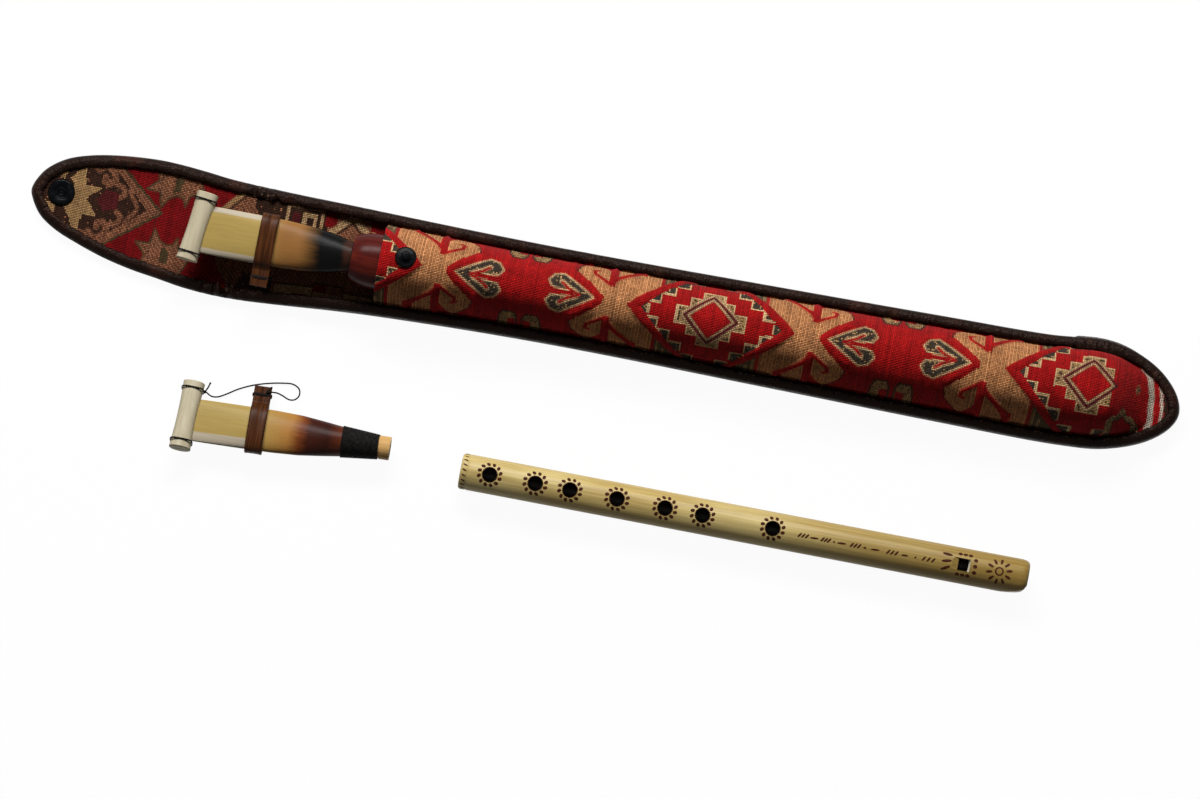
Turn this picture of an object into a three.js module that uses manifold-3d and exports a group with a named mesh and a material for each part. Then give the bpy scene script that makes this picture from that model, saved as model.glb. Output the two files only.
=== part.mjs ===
// A duduk outfit: a duduk with its reed in a woven case, a spare reed and a small fipple pipe.
// Millimetres, +Z up. The case lies along X with the tip of its flap at the low end.
// Everything lies on z = 0, and the origin is the bottom centre of the whole set.
import * as THREE from "three";
import { mergeVertices } from "three/addons/utils/BufferGeometryUtils.js";
import Module from "manifold-3d";

const wasm = await Module();
wasm.setup();

// Driving dimensions of the whole set
const clearance = 0.3;
const overrun = 4;
const caseLength = 540.6;
const caseHalfWidth = 25;
const bindingWidth = 5.4;
const leather = 1.2;
const clothThickness = 2.2;
const frontCloth = 1.8;
const pouchRise = 1.3;
const mouthX = 166;
const tipFoldX = 49;
const riserFoldX = 69;
const foldHalfAngle = 43;
const dudukLipX = 153;
const dudukY = -1.7;
const dudukLength = 340;
const bulbDiameter = 25.5;
const tubeDiameter = 20;
const boreDiameter = 10;
const fingerHoleDiameter = 8;
const reedLength = 97;
const reedInsertion = 22;
const reedTipWidth = 22.4;
const spareReedTipWidth = 20.4;
const bandWidth = 8;
const capBarLength = 32.5;
const capBarWidth = 9;
const spareReedX = 89.5;
const spareReedY = -88.6;
const spareReedYaw = 2.4;
const spareReedRoll = -11;
const pipeLength = 265.3;
const pipeDiameter = 16.6;
const pipeBore = 10.8;
const pipeX = 220.3;
const pipeY = -88.4;
const snapDiameter = 12.4;
const snapX = 14;
const snapY = 4.6;
const studX = 178;
const studY = 0.8;

// Outline of the case, as shares of its length and of its half width, far side and near side
const farEdgeShares = [
  [0.0, 0.15], [0.006, 0.47], [0.0139, 0.656], [0.0265, 0.832], [0.0453, 0.968], [0.0703, 1.064],
  [0.1016, 1.116], [0.1204, 1.108], [0.1454, 1.064], [0.1706, 1.008], [0.307, 0.928], [0.4514, 0.888],
  [0.66, 0.93], [0.7917, 0.968], [0.88, 1.0], [0.9265, 1.084], [0.9528, 0.988], [0.9791, 0.7], [0.9961, 0.296],
];
const nearEdgeShares = [
  [0.0026, -0.03], [0.0115, -0.304], [0.0265, -0.52], [0.0453, -0.684], [0.0703, -0.86], [0.0955, -0.984],
  [0.1204, -1.064], [0.1454, -1.144], [0.1829, -1.18], [0.307, -1.008], [0.4514, -0.92], [0.66, -0.955],
  [0.7917, -0.988], [0.904, -0.988], [0.9415, -0.908], [0.9754, -0.64], [0.9941, -0.312], [1.0, -0.028],
];

const material = (color, roughness, metalness = 0) => (
  new THREE.MeshStandardMaterial({ color, roughness, metalness })
);
const kilim = () => material(0xa81c1c, 0.95);
const darkLeather = () => material(0x2a1814, 0.6);
const snapEnamel = () => material(0x101010, 0.35, 0.6);
const apricotWood = () => material(0x6e3320, 0.35);
const cane = () => material(0xc8a86a, 0.45);
const paleCane = () => material(0xdcd3bd, 0.6);
const bandCane = () => material(0x9a6a3c, 0.5);
const blackThread = () => material(0x15120f, 0.9);
const pipeCane = () => material(0xd9b47c, 0.5);

const outfit = new THREE.Group();

function add(name, geometry, surface, parent = outfit) {
  const mesh = new THREE.Mesh(geometry, surface);
  mesh.name = name;
  parent.add(mesh);
  return mesh;
}

// Closed solids and booleans
function solidOf(geometry) {
  const bare = geometry.clone();
  bare.deleteAttribute("normal");
  bare.deleteAttribute("uv");
  const merged = mergeVertices(bare, 1e-4);
  const solid = new wasm.Manifold(new wasm.Mesh({
    numProp: 3,
    vertProperties: new Float32Array(merged.attributes.position.array),
    triVerts: new Uint32Array(merged.index.array),
  }));
  return solid;
}

function geometryOf(solid) {
  const mesh = solid.getMesh();
  const geometry = new THREE.BufferGeometry();
  geometry.setAttribute("position", new THREE.BufferAttribute(new Float32Array(mesh.vertProperties), 3));
  geometry.setIndex(new THREE.BufferAttribute(new Uint32Array(mesh.triVerts), 1));
  const flat = geometry.toNonIndexed();
  flat.computeVertexNormals();
  return flat;
}

// A skin through rings of points that all have the same count, capped at both ends or closed on itself
function skin(rings, closed = false, capFaces = cutFaces) {
  const count = rings[0].length;
  const places = rings.flat().flatMap((p) => [p.x, p.y, p.z]);
  const faces = [];
  const steps = closed ? rings.length : rings.length - 1;
  for (let i = 0; i < steps; i++) {
    const a = i * count;
    const b = ((i + 1) % rings.length) * count;
    for (let j = 0; j < count; j++) {
      const k = (j + 1) % count;
      faces.push(a + j, b + j, b + k, a + j, b + k, a + k);
    }
  }
  if (!closed) {
    const first = capFaces(rings[0]);
    const last = capFaces(rings[rings.length - 1]);
    const start = (rings.length - 1) * count;
    first.forEach((f) => faces.push(f[0], f[1], f[2]));
    last.forEach((f) => faces.push(start + f[0], start + f[2], start + f[1]));
  }
  const geometry = new THREE.BufferGeometry();
  geometry.setAttribute("position", new THREE.Float32BufferAttribute(places, 3));
  geometry.setIndex(faces);
  if (signedVolume(geometry) < 0) {
    for (let i = 0; i < faces.length; i += 3) [faces[i + 1], faces[i + 2]] = [faces[i + 2], faces[i + 1]];
    geometry.setIndex(faces);
  }
  geometry.computeVertexNormals();
  return geometry;
}

// The triangles that fill the end of a wall whose ring runs out along one face and back along the other
function wallFaces(ring) {
  const last = ring.length - 1;
  const faces = [];
  for (let i = 0; i < (last - 1) / 2; i++) faces.push([i, i + 1, last - i - 1], [i, last - i - 1, last - i]);
  return faces;
}

// The triangles that fill one flat ring, turned to follow the ring's own direction
function cutFaces(ring) {
  const normal = new THREE.Vector3();
  ring.forEach((p, i) => {
    const q = ring[(i + 1) % ring.length];
    normal.x += (p.y - q.y) * (p.z + q.z);
    normal.y += (p.z - q.z) * (p.x + q.x);
    normal.z += (p.x - q.x) * (p.y + q.y);
  });
  normal.normalize();
  const side = new THREE.Vector3(Math.abs(normal.x) < 0.7 ? 1 : 0, Math.abs(normal.x) < 0.7 ? 0 : 1, 0);
  const u = new THREE.Vector3().crossVectors(normal, side).normalize();
  const v = new THREE.Vector3().crossVectors(normal, u);
  const flat = ring.map((p) => new THREE.Vector2(p.dot(u), p.dot(v)));
  const faces = THREE.ShapeUtils.triangulateShape(flat, []);
  const turns = faces.map(([a, b, c]) => flat[b].clone().sub(flat[a]).cross(flat[c].clone().sub(flat[a])));
  return turns[0] < 0 ? faces.map(([a, b, c]) => [a, c, b]) : faces;
}

function signedVolume(geometry) {
  const at = geometry.getAttribute("position");
  const index = geometry.getIndex();
  const [a, b, c] = [new THREE.Vector3(), new THREE.Vector3(), new THREE.Vector3()];
  let total = 0;
  for (let i = 0; i < index.count; i += 3) {
    a.fromBufferAttribute(at, index.getX(i));
    b.fromBufferAttribute(at, index.getX(i + 1));
    c.fromBufferAttribute(at, index.getX(i + 2));
    total += a.dot(b.cross(c)) / 6;
  }
  return total;
}

// A turned piece along +X from a closed profile of [distance along X, radius]
function turned(profile, sides) {
  const points = profile.map(([along, radius]) => new THREE.Vector2(radius, along));
  points.push(points[0].clone());
  const geometry = new THREE.LatheGeometry(points, sides);
  geometry.rotateZ(-Math.PI / 2);
  geometry.deleteAttribute("normal");
  geometry.deleteAttribute("uv");
  const merged = mergeVertices(geometry, 1e-4);
  if (signedVolume(merged) < 0) {
    const index = merged.getIndex();
    for (let i = 0; i < index.count; i += 3) {
      const swap = index.getX(i + 1);
      index.setX(i + 1, index.getX(i + 2));
      index.setX(i + 2, swap);
    }
  }
  merged.computeVertexNormals();
  return merged;
}

// A plain rod along Z, for holes and posts
function rod(radius, low, high, x, y, sides = 16) {
  const geometry = new THREE.CylinderGeometry(radius, radius, high - low, sides);
  geometry.rotateX(Math.PI / 2);
  geometry.translate(x, y, (low + high) / 2);
  return geometry;
}

const smooth = (low, high, value) => THREE.MathUtils.smoothstep(value, low, high);
const radians = THREE.MathUtils.degToRad;

// The case's outline as a closed plan path, drawn in by an inset
const edgePoint = ([lengthShare, widthShare]) => (
  new THREE.Vector2(lengthShare * caseLength, widthShare * caseHalfWidth)
);
const outlinePoints = [...farEdgeShares.map(edgePoint), ...nearEdgeShares.toReversed().map(edgePoint)];
const outlineSteps = 112;
const outlineCurve = new THREE.CatmullRomCurve3(
  outlinePoints.map((p) => new THREE.Vector3(p.x, p.y, 0)), true, "centripetal",
);
// Turns take closer points than the long straight sides
function outlineWalk() {
  const dense = outlineCurve.getSpacedPoints(outlineSteps * 12).slice(0, -1);
  const kept = [];
  let turn = 0;
  let run = 0;
  const turnStep = radians(7);
  const runStep = caseLength / 30;
  dense.forEach((p, i) => {
    const before = dense[(i + dense.length - 1) % dense.length];
    const after = dense[(i + 1) % dense.length];
    const was = Math.atan2(p.y - before.y, p.x - before.x);
    const now = Math.atan2(after.y - p.y, after.x - p.x);
    turn += Math.abs(Math.atan2(Math.sin(now - was), Math.cos(now - was)));
    run += p.distanceTo(before);
    if (turn < turnStep && run < runStep) return;
    const ahead = new THREE.Vector2(after.x - before.x, after.y - before.y).normalize();
    kept.push({ x: p.x, y: p.y, out: new THREE.Vector2(-ahead.y, ahead.x) });
    turn = 0;
    run = 0;
  });
  return kept;
}
const outline = outlineWalk();

// Half widths of the case at one x, on the far and the near side
const edgeSamples = outlineCurve.getSpacedPoints(1400);
function edgeAt(x, side) {
  let best = 0;
  edgeSamples.forEach((p, i) => {
    const q = edgeSamples[(i + 1) % edgeSamples.length];
    const low = Math.min(p.x, q.x);
    const high = Math.max(p.x, q.x);
    if (x < low || x > high || high === low) return;
    const y = p.y + ((q.y - p.y) * (x - p.x)) / (q.x - p.x);
    if (side > 0 ? y > best : y < best) best = y;
  });
  return best;
}

// Heights along the case: the pouch is thicker than the flap, so its back cloth lies higher
const flapFloor = leather + clearance;
const riseAt = (x) => pouchRise * smooth(0.16 * caseLength, 0.24 * caseLength, x);
const backBottom = (x) => flapFloor + riseAt(x);
const backTop = (x) => backBottom(x) + clothThickness;
const frontBottom = backTop(mouthX) + clearance;
const frontLead = 0.03 * caseLength;
const frontStack = (x) => {
  const share = smooth(mouthX - 2.6 * frontLead, mouthX - 1.3 * frontLead, x);
  return (clearance + frontCloth) * share;
};
const slotBottom = (x) => backBottom(x) - clearance;
const slotTop = (x) => backTop(x) + frontStack(x) + clearance;
const bindingTop = (x) => slotTop(x) + leather;

// The leather binding: a strip folded round the edges of the cloth, one lap where its ends meet
const lapX = 0.915 * caseLength;
const lapLength = 0.025 * caseLength;
const lapSwell = 0.8;
function bindingRing(place) {
  const { x, y, out } = place;
  const lapEnd = 1 - smooth(lapX + lapLength, lapX + 2 * lapLength, x);
  const lap = y > 0 ? smooth(lapX - lapLength, lapX, x) * lapEnd : 0;
  const swell = lapSwell * lap;
  const [low, high, top] = [slotBottom(x), slotTop(x), bindingTop(x) + swell];
  const round = 0.3 * top;
  const inner = -bindingWidth - swell;
  const section = [
    [inner, 0], [inner, low], [-leather, low], [-leather, high], [inner, high], [inner, top - leather / 4],
    [inner + leather / 2, top], [-round, top], [-round / 3, top - round / 3], [0, top - round],
    [0, round], [-round / 3, round / 3], [-round, 0],
  ];
  return section.map(([u, z]) => new THREE.Vector3(x + out.x * u, y + out.y * u, z));
}
const bindingSolid = solidOf(skin(outline.map(bindingRing), true));

// The cloth stands inside the binding's slot
const slotPlay = 0.2;
const clothInset = leather + clearance + slotPlay;
const clothStart = clothInset + leather / 2;
function stations(from, to, least, most) {
  const places = [];
  const middle = (from + to) / 2;
  const count = Math.max(least, Math.min(most, Math.round((to - from) / (caseLength / 30))));
  for (let i = 0; i <= count; i++) places.push(middle - ((to - from) / 2) * Math.cos((Math.PI * i) / count));
  return places;
}
const clothEnd = caseLength - clothStart;
function clothEdge(x, side, inset) {
  const slope = (edgeAt(x + 1, side) - edgeAt(x - 1, side)) / 2;
  return edgeAt(x, side) - side * inset * Math.hypot(1, slope);
}
const clothMiddle = (x) => (edgeAt(x, 1) + edgeAt(x, -1)) / 2;
function clothSide(x, side, inset) {
  const edge = clothEdge(x, side, inset);
  const least = clothMiddle(x) + side * leather;
  return side > 0 ? Math.max(edge, least) : Math.min(edge, least);
}
function clothRing(x) {
  const far = clothSide(x, 1, clothInset);
  const near = clothSide(x, -1, clothInset);
  return [[near, backBottom(x)], [far, backBottom(x)], [far, backTop(x)], [near, backTop(x)]]
    .map(([y, z]) => new THREE.Vector3(x, y, z));
}
const clothSolid = solidOf(skin(stations(clothStart, clothEnd, 44, 60).map(clothRing)));

// Each stretch between the fold lines is cut with mitred ends, so that the folds close freely
const foldZ = (slotBottom(0) + slotTop(0)) / 2;
const foldSlope = Math.tan(radians(foldHalfAngle));
const foldTop = bindingTop(0) + clearance;
const cutTop = bindingTop(caseLength) + lapSwell + overrun;
function stretch(from, to) {
  const reach = (foldTop - foldZ) * foldSlope + clearance / 2;
  const low = [from + clearance / 2, from + reach];
  const high = [to - clearance / 2, to - reach];
  const outer = caseHalfWidth * 2;
  const shape = [
    [low[0], -overrun], [high[0], -overrun], [high[0], foldZ], [high[1], foldTop],
    [high[1], cutTop], [low[1], cutTop], [low[1], foldTop], [low[0], foldZ],
  ];
  const ring = (y) => shape.map(([x, z]) => new THREE.Vector3(x, y, z));
  return solidOf(skin([ring(-outer), ring(outer)]));
}
const wide = caseLength * 2;
const tipStretch = stretch(-wide, tipFoldX);
const riserStretch = stretch(tipFoldX, riserFoldX);
const pouchStretch = stretch(riserFoldX, wide);

add("case_back_panel", geometryOf(clothSolid.intersect(pouchStretch)), kilim());
add("case_binding", geometryOf(bindingSolid.intersect(pouchStretch)), darkLeather());
add("flap_riser_panel", geometryOf(clothSolid.intersect(riserStretch)), kilim());
const riserBindings = bindingSolid.intersect(riserStretch).decompose();
riserBindings.forEach((piece) => {
  const box = piece.boundingBox();
  add(box.max[1] > 0 ? "flap_riser_binding_far" : "flap_riser_binding_near", geometryOf(piece), darkLeather());
});
add("flap_tip_binding", geometryOf(bindingSolid.intersect(tipStretch)), darkLeather());

// The duduk lies in the pouch with its bulb on the back cloth
const dudukZ = backTop(mouthX) + clearance + bulbDiameter / 2;

// The front cloth arches over the duduk and lies flat past its foot
const bulbClear = 2.05;
const tubeClear = 1.8;
const archRise = (x) => {
  const overBulb = dudukZ + bulbDiameter / 2 + bulbClear - frontBottom;
  const overTube = dudukZ + tubeDiameter / 2 + tubeClear - frontBottom;
  const bulbEnd = dudukLipX + 2 * bulbDiameter;
  const foot = dudukLipX + dudukLength + 0.6 * tubeDiameter;
  const body = THREE.MathUtils.lerp(overBulb, overTube, smooth(bulbEnd, bulbEnd + 2 * bulbDiameter, x));
  const seam = 1 - smooth(caseLength - 3 * bindingWidth, caseLength - 1.6 * bindingWidth, x);
  return body * (1 - smooth(foot, foot + 1.2 * tubeDiameter, x)) + clearance * seam;
};
const archFullness = (x) => {
  const fuller = THREE.MathUtils.lerp(0.39, 0.36, smooth(mouthX, mouthX + 4 * bulbDiameter, x));
  return fuller - 0.05 * smooth(0.86 * caseLength, 0.92 * caseLength, x);
};
const archCounts = 8;
function archSpan(x) {
  const room = bindingWidth + 2 * clearance + 1.2 * frontCloth;
  const far = Math.max(clothSide(x, 1, room), clothMiddle(x) + frontCloth * 2);
  const near = Math.min(clothSide(x, -1, room), clothMiddle(x) - frontCloth * 2);
  const pastFoot = smooth(0.935 * caseLength, 0.975 * caseLength, x);
  const centre = THREE.MathUtils.lerp(dudukY, (far + near) / 2, pastFoot);
  return { far, near, centre };
}
// Height of the arch's inner face at a share of the way from its ridge to its foot
function archHeight(x, share) {
  const height = archRise(x) * Math.max(Math.cos((Math.PI / 2) * share), 0) ** archFullness(x);
  return frontBottom + height;
}
function frontRing(x) {
  const { far, near, centre } = archSpan(x);
  const inner = [new THREE.Vector2(clothSide(x, -1, clothInset), frontBottom)];
  for (let i = 0; i <= 2 * archCounts; i++) {
    const share = -Math.cos((Math.PI * i) / (2 * archCounts));
    const half = share < 0 ? centre - near : far - centre;
    inner.push(new THREE.Vector2(centre + share * half, archHeight(x, share)));
  }
  inner.push(new THREE.Vector2(clothSide(x, 1, clothInset), frontBottom));
  const outer = inner.map((p, i) => {
    const before = inner[Math.max(i - 1, 0)];
    const after = inner[Math.min(i + 1, inner.length - 1)];
    const ahead = after.clone().sub(before).normalize();
    const isEnd = i === 0 || i === inner.length - 1;
    const out = isEnd ? new THREE.Vector2(0, 1) : new THREE.Vector2(-ahead.y, ahead.x);
    const miter = i === 1 || i === inner.length - 2 ? 1 + Math.abs(out.x) / 4 : 1;
    return p.clone().addScaledVector(out, frontCloth * miter);
  });
  outer.forEach((p) => { p.y = Math.max(p.y, frontBottom + frontCloth); });
  return [...inner, ...outer.toReversed()].map((p) => new THREE.Vector3(x, p.x, p.y));
}
const frontSolid = solidOf(skin(stations(mouthX, clothEnd, 26, 30).map(frontRing), false, wallFaces));

// Snap fastener: a socket and cap through the flap, a stud and eyelet through the front cloth
const snapPost = 0.3 * snapDiameter;
const snapHole = 0.5 * snapDiameter;
const socketHeight = 0.9;
const capHead = flapFloor - 2 * clearance;
const studDiameter = 0.8 * snapDiameter;
const studPost = 0.22 * snapDiameter;
const studBase = 1.1;
const studBall = 0.36 * snapDiameter;
const eyeletDiameter = 0.48 * snapDiameter;
const eyeletHead = 0.5;

const tipHole = solidOf(rod(snapPost / 2 + clearance, -overrun, cutTop, snapX, snapY));
add("flap_tip_panel", geometryOf(clothSolid.intersect(tipStretch).subtract(tipHole)), kilim());
const socketZ = backTop(snapX) + clearance;
const socket = turned([
  [0, snapHole / 2], [0, snapDiameter / 2], [0.5 * socketHeight, snapDiameter / 2],
  [socketHeight, 0.42 * snapDiameter], [socketHeight, 0.33 * snapDiameter], [0.6 * socketHeight, snapHole / 2],
], 24).rotateY(-Math.PI / 2).translate(snapX, snapY, socketZ);
add("snap_socket", socket, snapEnamel());
const capPiece = turned([
  [0, 0], [0, 0.4 * snapDiameter], [capHead / 2, snapDiameter / 2], [capHead, snapDiameter / 2],
  [capHead, snapPost / 2], [socketZ + socketHeight / 2 - clearance, snapPost / 2],
  [socketZ + socketHeight / 2 - clearance, 0],
], 24).rotateY(-Math.PI / 2).translate(snapX, snapY, clearance);
add("snap_cap", capPiece, snapEnamel());

// The stud stands square to the cloth, a little to the far side of the ridge
const studSpan = archSpan(studX);
const studShare = (studY - studSpan.centre) / (studSpan.far - studSpan.centre);
const studTop = archHeight(studX, studShare);
const slopeStep = 0.05;
const studRun = 2 * slopeStep * (studSpan.far - studSpan.centre);
const studFall = archHeight(studX, studShare - slopeStep) - archHeight(studX, studShare + slopeStep);
const studTilt = -Math.atan2(studFall, studRun);
const studPlace = new THREE.Group();
studPlace.position.set(studX, studY, studTop);
studPlace.rotation.x = studTilt;
outfit.add(studPlace);
studPlace.updateMatrix();
const studHoleRod = rod(studPost / 2 + clearance, -overrun, 2 * overrun, 0, 0).applyMatrix4(studPlace.matrix);
add("case_front_panel", geometryOf(frontSolid.subtract(solidOf(studHoleRod))), kilim());
const studZ = frontCloth + clearance;
const stud = turned([
  [-frontCloth - clearance, 0], [-frontCloth - clearance, studPost / 2], [0, studPost / 2],
  [0, studDiameter / 2], [studBase / 2, studDiameter / 2], [studBase, 0.42 * studDiameter],
  [studBase, studPost / 2], [1.6 * studBase, studPost / 2], [2.2 * studBase, studBall / 2],
  [2.9 * studBase, studBall / 2], [3.4 * studBase, 0.3 * studBall], [3.4 * studBase, 0],
], 20).rotateY(-Math.PI / 2).translate(0, 0, studZ);
add("snap_stud", stud, snapEnamel(), studPlace);
const sag = eyeletDiameter / 10;
const eyeletZ = -clearance - sag - eyeletHead;
const eyelet = turned([
  [0, 0], [0, 0.4 * eyeletDiameter], [eyeletHead / 2, eyeletDiameter / 2], [eyeletHead, eyeletDiameter / 2],
  [eyeletHead, 0],
], 16).rotateY(-Math.PI / 2).translate(0, 0, eyeletZ);
add("snap_stud_eyelet", eyelet, snapEnamel(), studPlace);

// Duduk body: one turned piece with a conical reed socket, a straight bore and ten holes
const lipDiameter = 21.5;
const bulbLength = 32;
const neckDiameter = 18.2;
const footDiameter = 21;
const threadStart = reedLength - reedInsertion;
const neckRadiusAt = (s) => reedSection(s, reedTipWidth).half;
const socketGap = 0.6;
const socketDepth = reedInsertion + 2;
const holeSpacingShares = [0.2, 0.28, 0.36, 0.44, 0.535, 0.615, 0.695, 0.775];
const thumbHoleShare = 0.16;
const tuningHoleShare = 0.88;

// Reed sections from the tip (s = 0) to the cut end of the neck: half width and half height
const reedStations = [
  { share: 0, width: 0.98, height: 0.095 },
  { share: 0.12, width: 1, height: 0.17 },
  { share: 0.27, width: 1, height: 0.265 },
  { share: 0.44, width: 0.99, height: 0.365 },
  { share: 0.57, width: 0.93, height: 0.5 },
  { share: 0.68, width: 0.8, height: 0.61 },
];
const threadStartShare = 0.765;
const threadEndShare = 0.95;
const threadStartDiameter = 13.9;
const threadEndDiameter = 10.5;
const reedEndDiameter = 10.9;
function reedSection(s, tipWidth) {
  const rings = [
    ...reedStations.map((r) => [r.share * reedLength, (r.width * tipWidth) / 2, (r.height * tipWidth) / 2]),
    [threadStartShare * reedLength, threadStartDiameter / 2, threadStartDiameter / 2],
    [threadEndShare * reedLength, threadEndDiameter / 2, threadEndDiameter / 2],
    [threadEndShare * reedLength + clearance, reedEndDiameter / 2, reedEndDiameter / 2],
    [reedLength, reedEndDiameter / 2, reedEndDiameter / 2],
  ];
  const next = rings.findIndex((r) => r[0] > s);
  const after = rings[next < 0 ? rings.length - 1 : Math.max(next, 1)];
  const before = rings[next < 0 ? rings.length - 2 : Math.max(next, 1) - 1];
  const share = THREE.MathUtils.clamp((s - before[0]) / (after[0] - before[0]), 0, 1);
  return {
    half: THREE.MathUtils.lerp(before[1], after[1], share),
    height: THREE.MathUtils.lerp(before[2], after[2], share),
  };
}

const threadDiameter = 0.5;
const windingLoops = 14;
const threadRadiusAt = (s) => neckRadiusAt(s) + threadDiameter;
const socketRadius = (depth) => {
  const s = reedLength - reedInsertion + depth;
  return Math.max(threadRadiusAt(s), reedEndDiameter / 2) + socketGap;
};
const bulbR = bulbDiameter / 2;
const dudukProfile = [
  [0, socketRadius(0) + clearance], [0, lipDiameter / 2 - clearance], [0.02 * bulbLength, lipDiameter / 2],
  [0.14 * bulbLength, 0.945 * bulbR], [0.32 * bulbLength, bulbR], [0.48 * bulbLength, 0.985 * bulbR],
  [0.68 * bulbLength, 0.87 * bulbR], [0.86 * bulbLength, 0.76 * bulbR], [bulbLength, neckDiameter / 2],
  [1.35 * bulbLength, tubeDiameter / 2], [0.9 * dudukLength, tubeDiameter / 2],
  [dudukLength - clearance, footDiameter / 2], [dudukLength, footDiameter / 2 - clearance],
  [dudukLength, boreDiameter / 2], [socketDepth, boreDiameter / 2], [socketDepth, socketRadius(socketDepth)],
  [0.8 * reedInsertion, socketRadius(0.8 * reedInsertion)],
];
let dudukSolid = solidOf(turned(dudukProfile, 28));
const fingerHole = (share, up, diameter) => solidOf(
  rod(diameter / 2, up ? 0 : -bulbDiameter, up ? bulbDiameter : 0, share * dudukLength, 0, 14),
);
holeSpacingShares.forEach((share) => {
  dudukSolid = dudukSolid.subtract(fingerHole(share, true, fingerHoleDiameter));
});
dudukSolid = dudukSolid.subtract(fingerHole(thumbHoleShare, false, fingerHoleDiameter));
dudukSolid = dudukSolid.subtract(fingerHole(tuningHoleShare, false, 0.7 * fingerHoleDiameter));
add("duduk_body", geometryOf(dudukSolid), apricotWood()).position.set(dudukLipX, dudukY, dudukZ);

// One reed with its winding, tuning band and cap, made for either place
const reedWall = 1.5;
const tipSlit = 0.35;
const bandStart = 0.318 * reedLength;
const bandTravel = 3;
const bandThickness = 1.3;
const bandGap = 0.35;
const bandTailLength = 8.6;
const bandTailSpread = 0.7;
const tieThickness = 0.7;
const tieWidth = 1.4;
const capBarHeight = 4.6;
const capFlare = 1.12;
const capReach = 0.9;

function reedRing(s, tipWidth, inset) {
  const { half, height } = reedSection(s, tipWidth);
  const flatness = 1 - smooth(0, threadStartShare * reedLength, s);
  const a = half - inset;
  const b = Math.max(height - Math.min(inset, 0.62 * height), tipSlit / 2);
  const corner = THREE.MathUtils.lerp(1, 0.72, flatness);
  const ring = [];
  const sides = 18;
  for (let i = 0; i < sides; i++) {
    const angle = (2 * Math.PI * i) / sides;
    const [c, d] = [Math.cos(angle), Math.sin(angle)];
    const y = a * Math.sign(c) * Math.abs(c) ** corner;
    const z = b * Math.sign(d) * Math.abs(d) ** corner;
    ring.push(new THREE.Vector3(s, y, z));
  }
  return ring;
}

function reedCane(tipWidth) {
  const places = [
    ...reedStations.map((r) => r.share * reedLength), threadStartShare * reedLength,
    threadEndShare * reedLength, threadEndShare * reedLength + clearance, reedLength,
  ];
  const outside = solidOf(skin(places.map((s) => reedRing(s, tipWidth, 0))));
  const inside = places.map((s) => reedRing(s, tipWidth, reedWall));
  inside[0] = inside[0].map((p) => p.clone().setX(-clearance));
  inside[inside.length - 1] = inside[inside.length - 1].map((p) => p.clone().setX(reedLength + clearance));
  return geometryOf(outside.subtract(solidOf(skin(inside))));
}

// The thread: one unbroken helical tube that lies on the neck
function winding(loops, from, to, stepsPerLoop, sides) {
  const steps = loops * stepsPerLoop;
  const axisAt = (i) => {
    const turnAngle = (2 * Math.PI * i) / stepsPerLoop;
    const s = THREE.MathUtils.lerp(from, to, i / steps);
    const r = (neckRadiusAt(s) + clearance / 3) / Math.cos(Math.PI / stepsPerLoop) + threadDiameter / 2;
    return new THREE.Vector3(s, r * Math.cos(turnAngle), r * Math.sin(turnAngle));
  };
  const centres = [];
  for (let i = 0; i <= steps; i++) centres.push(axisAt(i));
  const first = centres[0].clone().sub(centres[1]).normalize().multiplyScalar(threadDiameter);
  const last = centres[steps].clone().sub(centres[steps - 1]).normalize().multiplyScalar(threadDiameter);
  centres.unshift(centres[0].clone().add(first));
  centres.push(centres[centres.length - 1].clone().add(last));
  const rings = centres.map((centre, i) => {
    const before = centres[Math.max(i - 1, 0)];
    const ahead = centres[Math.min(i + 1, centres.length - 1)].clone().sub(before).normalize();
    const out = new THREE.Vector3(0, centre.y, centre.z).normalize();
    const across = new THREE.Vector3().crossVectors(ahead, out).normalize();
    const up = new THREE.Vector3().crossVectors(across, ahead);
    const ring = [];
    for (let j = 0; j < sides; j++) {
      const angle = (2 * Math.PI * j) / sides;
      ring.push(centre.clone()
        .addScaledVector(up, (threadDiameter / 2) * Math.cos(angle))
        .addScaledVector(across, (threadDiameter / 2) * Math.sin(angle)));
    }
    return ring;
  });
  let gap = Infinity;
  rings.forEach((ring, i) => {
    for (let k = i + Math.round(stepsPerLoop / 2); k < Math.min(i + stepsPerLoop * 2, rings.length); k++) {
      ring.forEach((p) => rings[k].forEach((q) => { gap = Math.min(gap, p.distanceTo(q)); }));
    }
  });
  console.log("winding of", loops, "loops, least gap to itself", gap.toFixed(3), "mm");
  return skin(rings);
}

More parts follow.
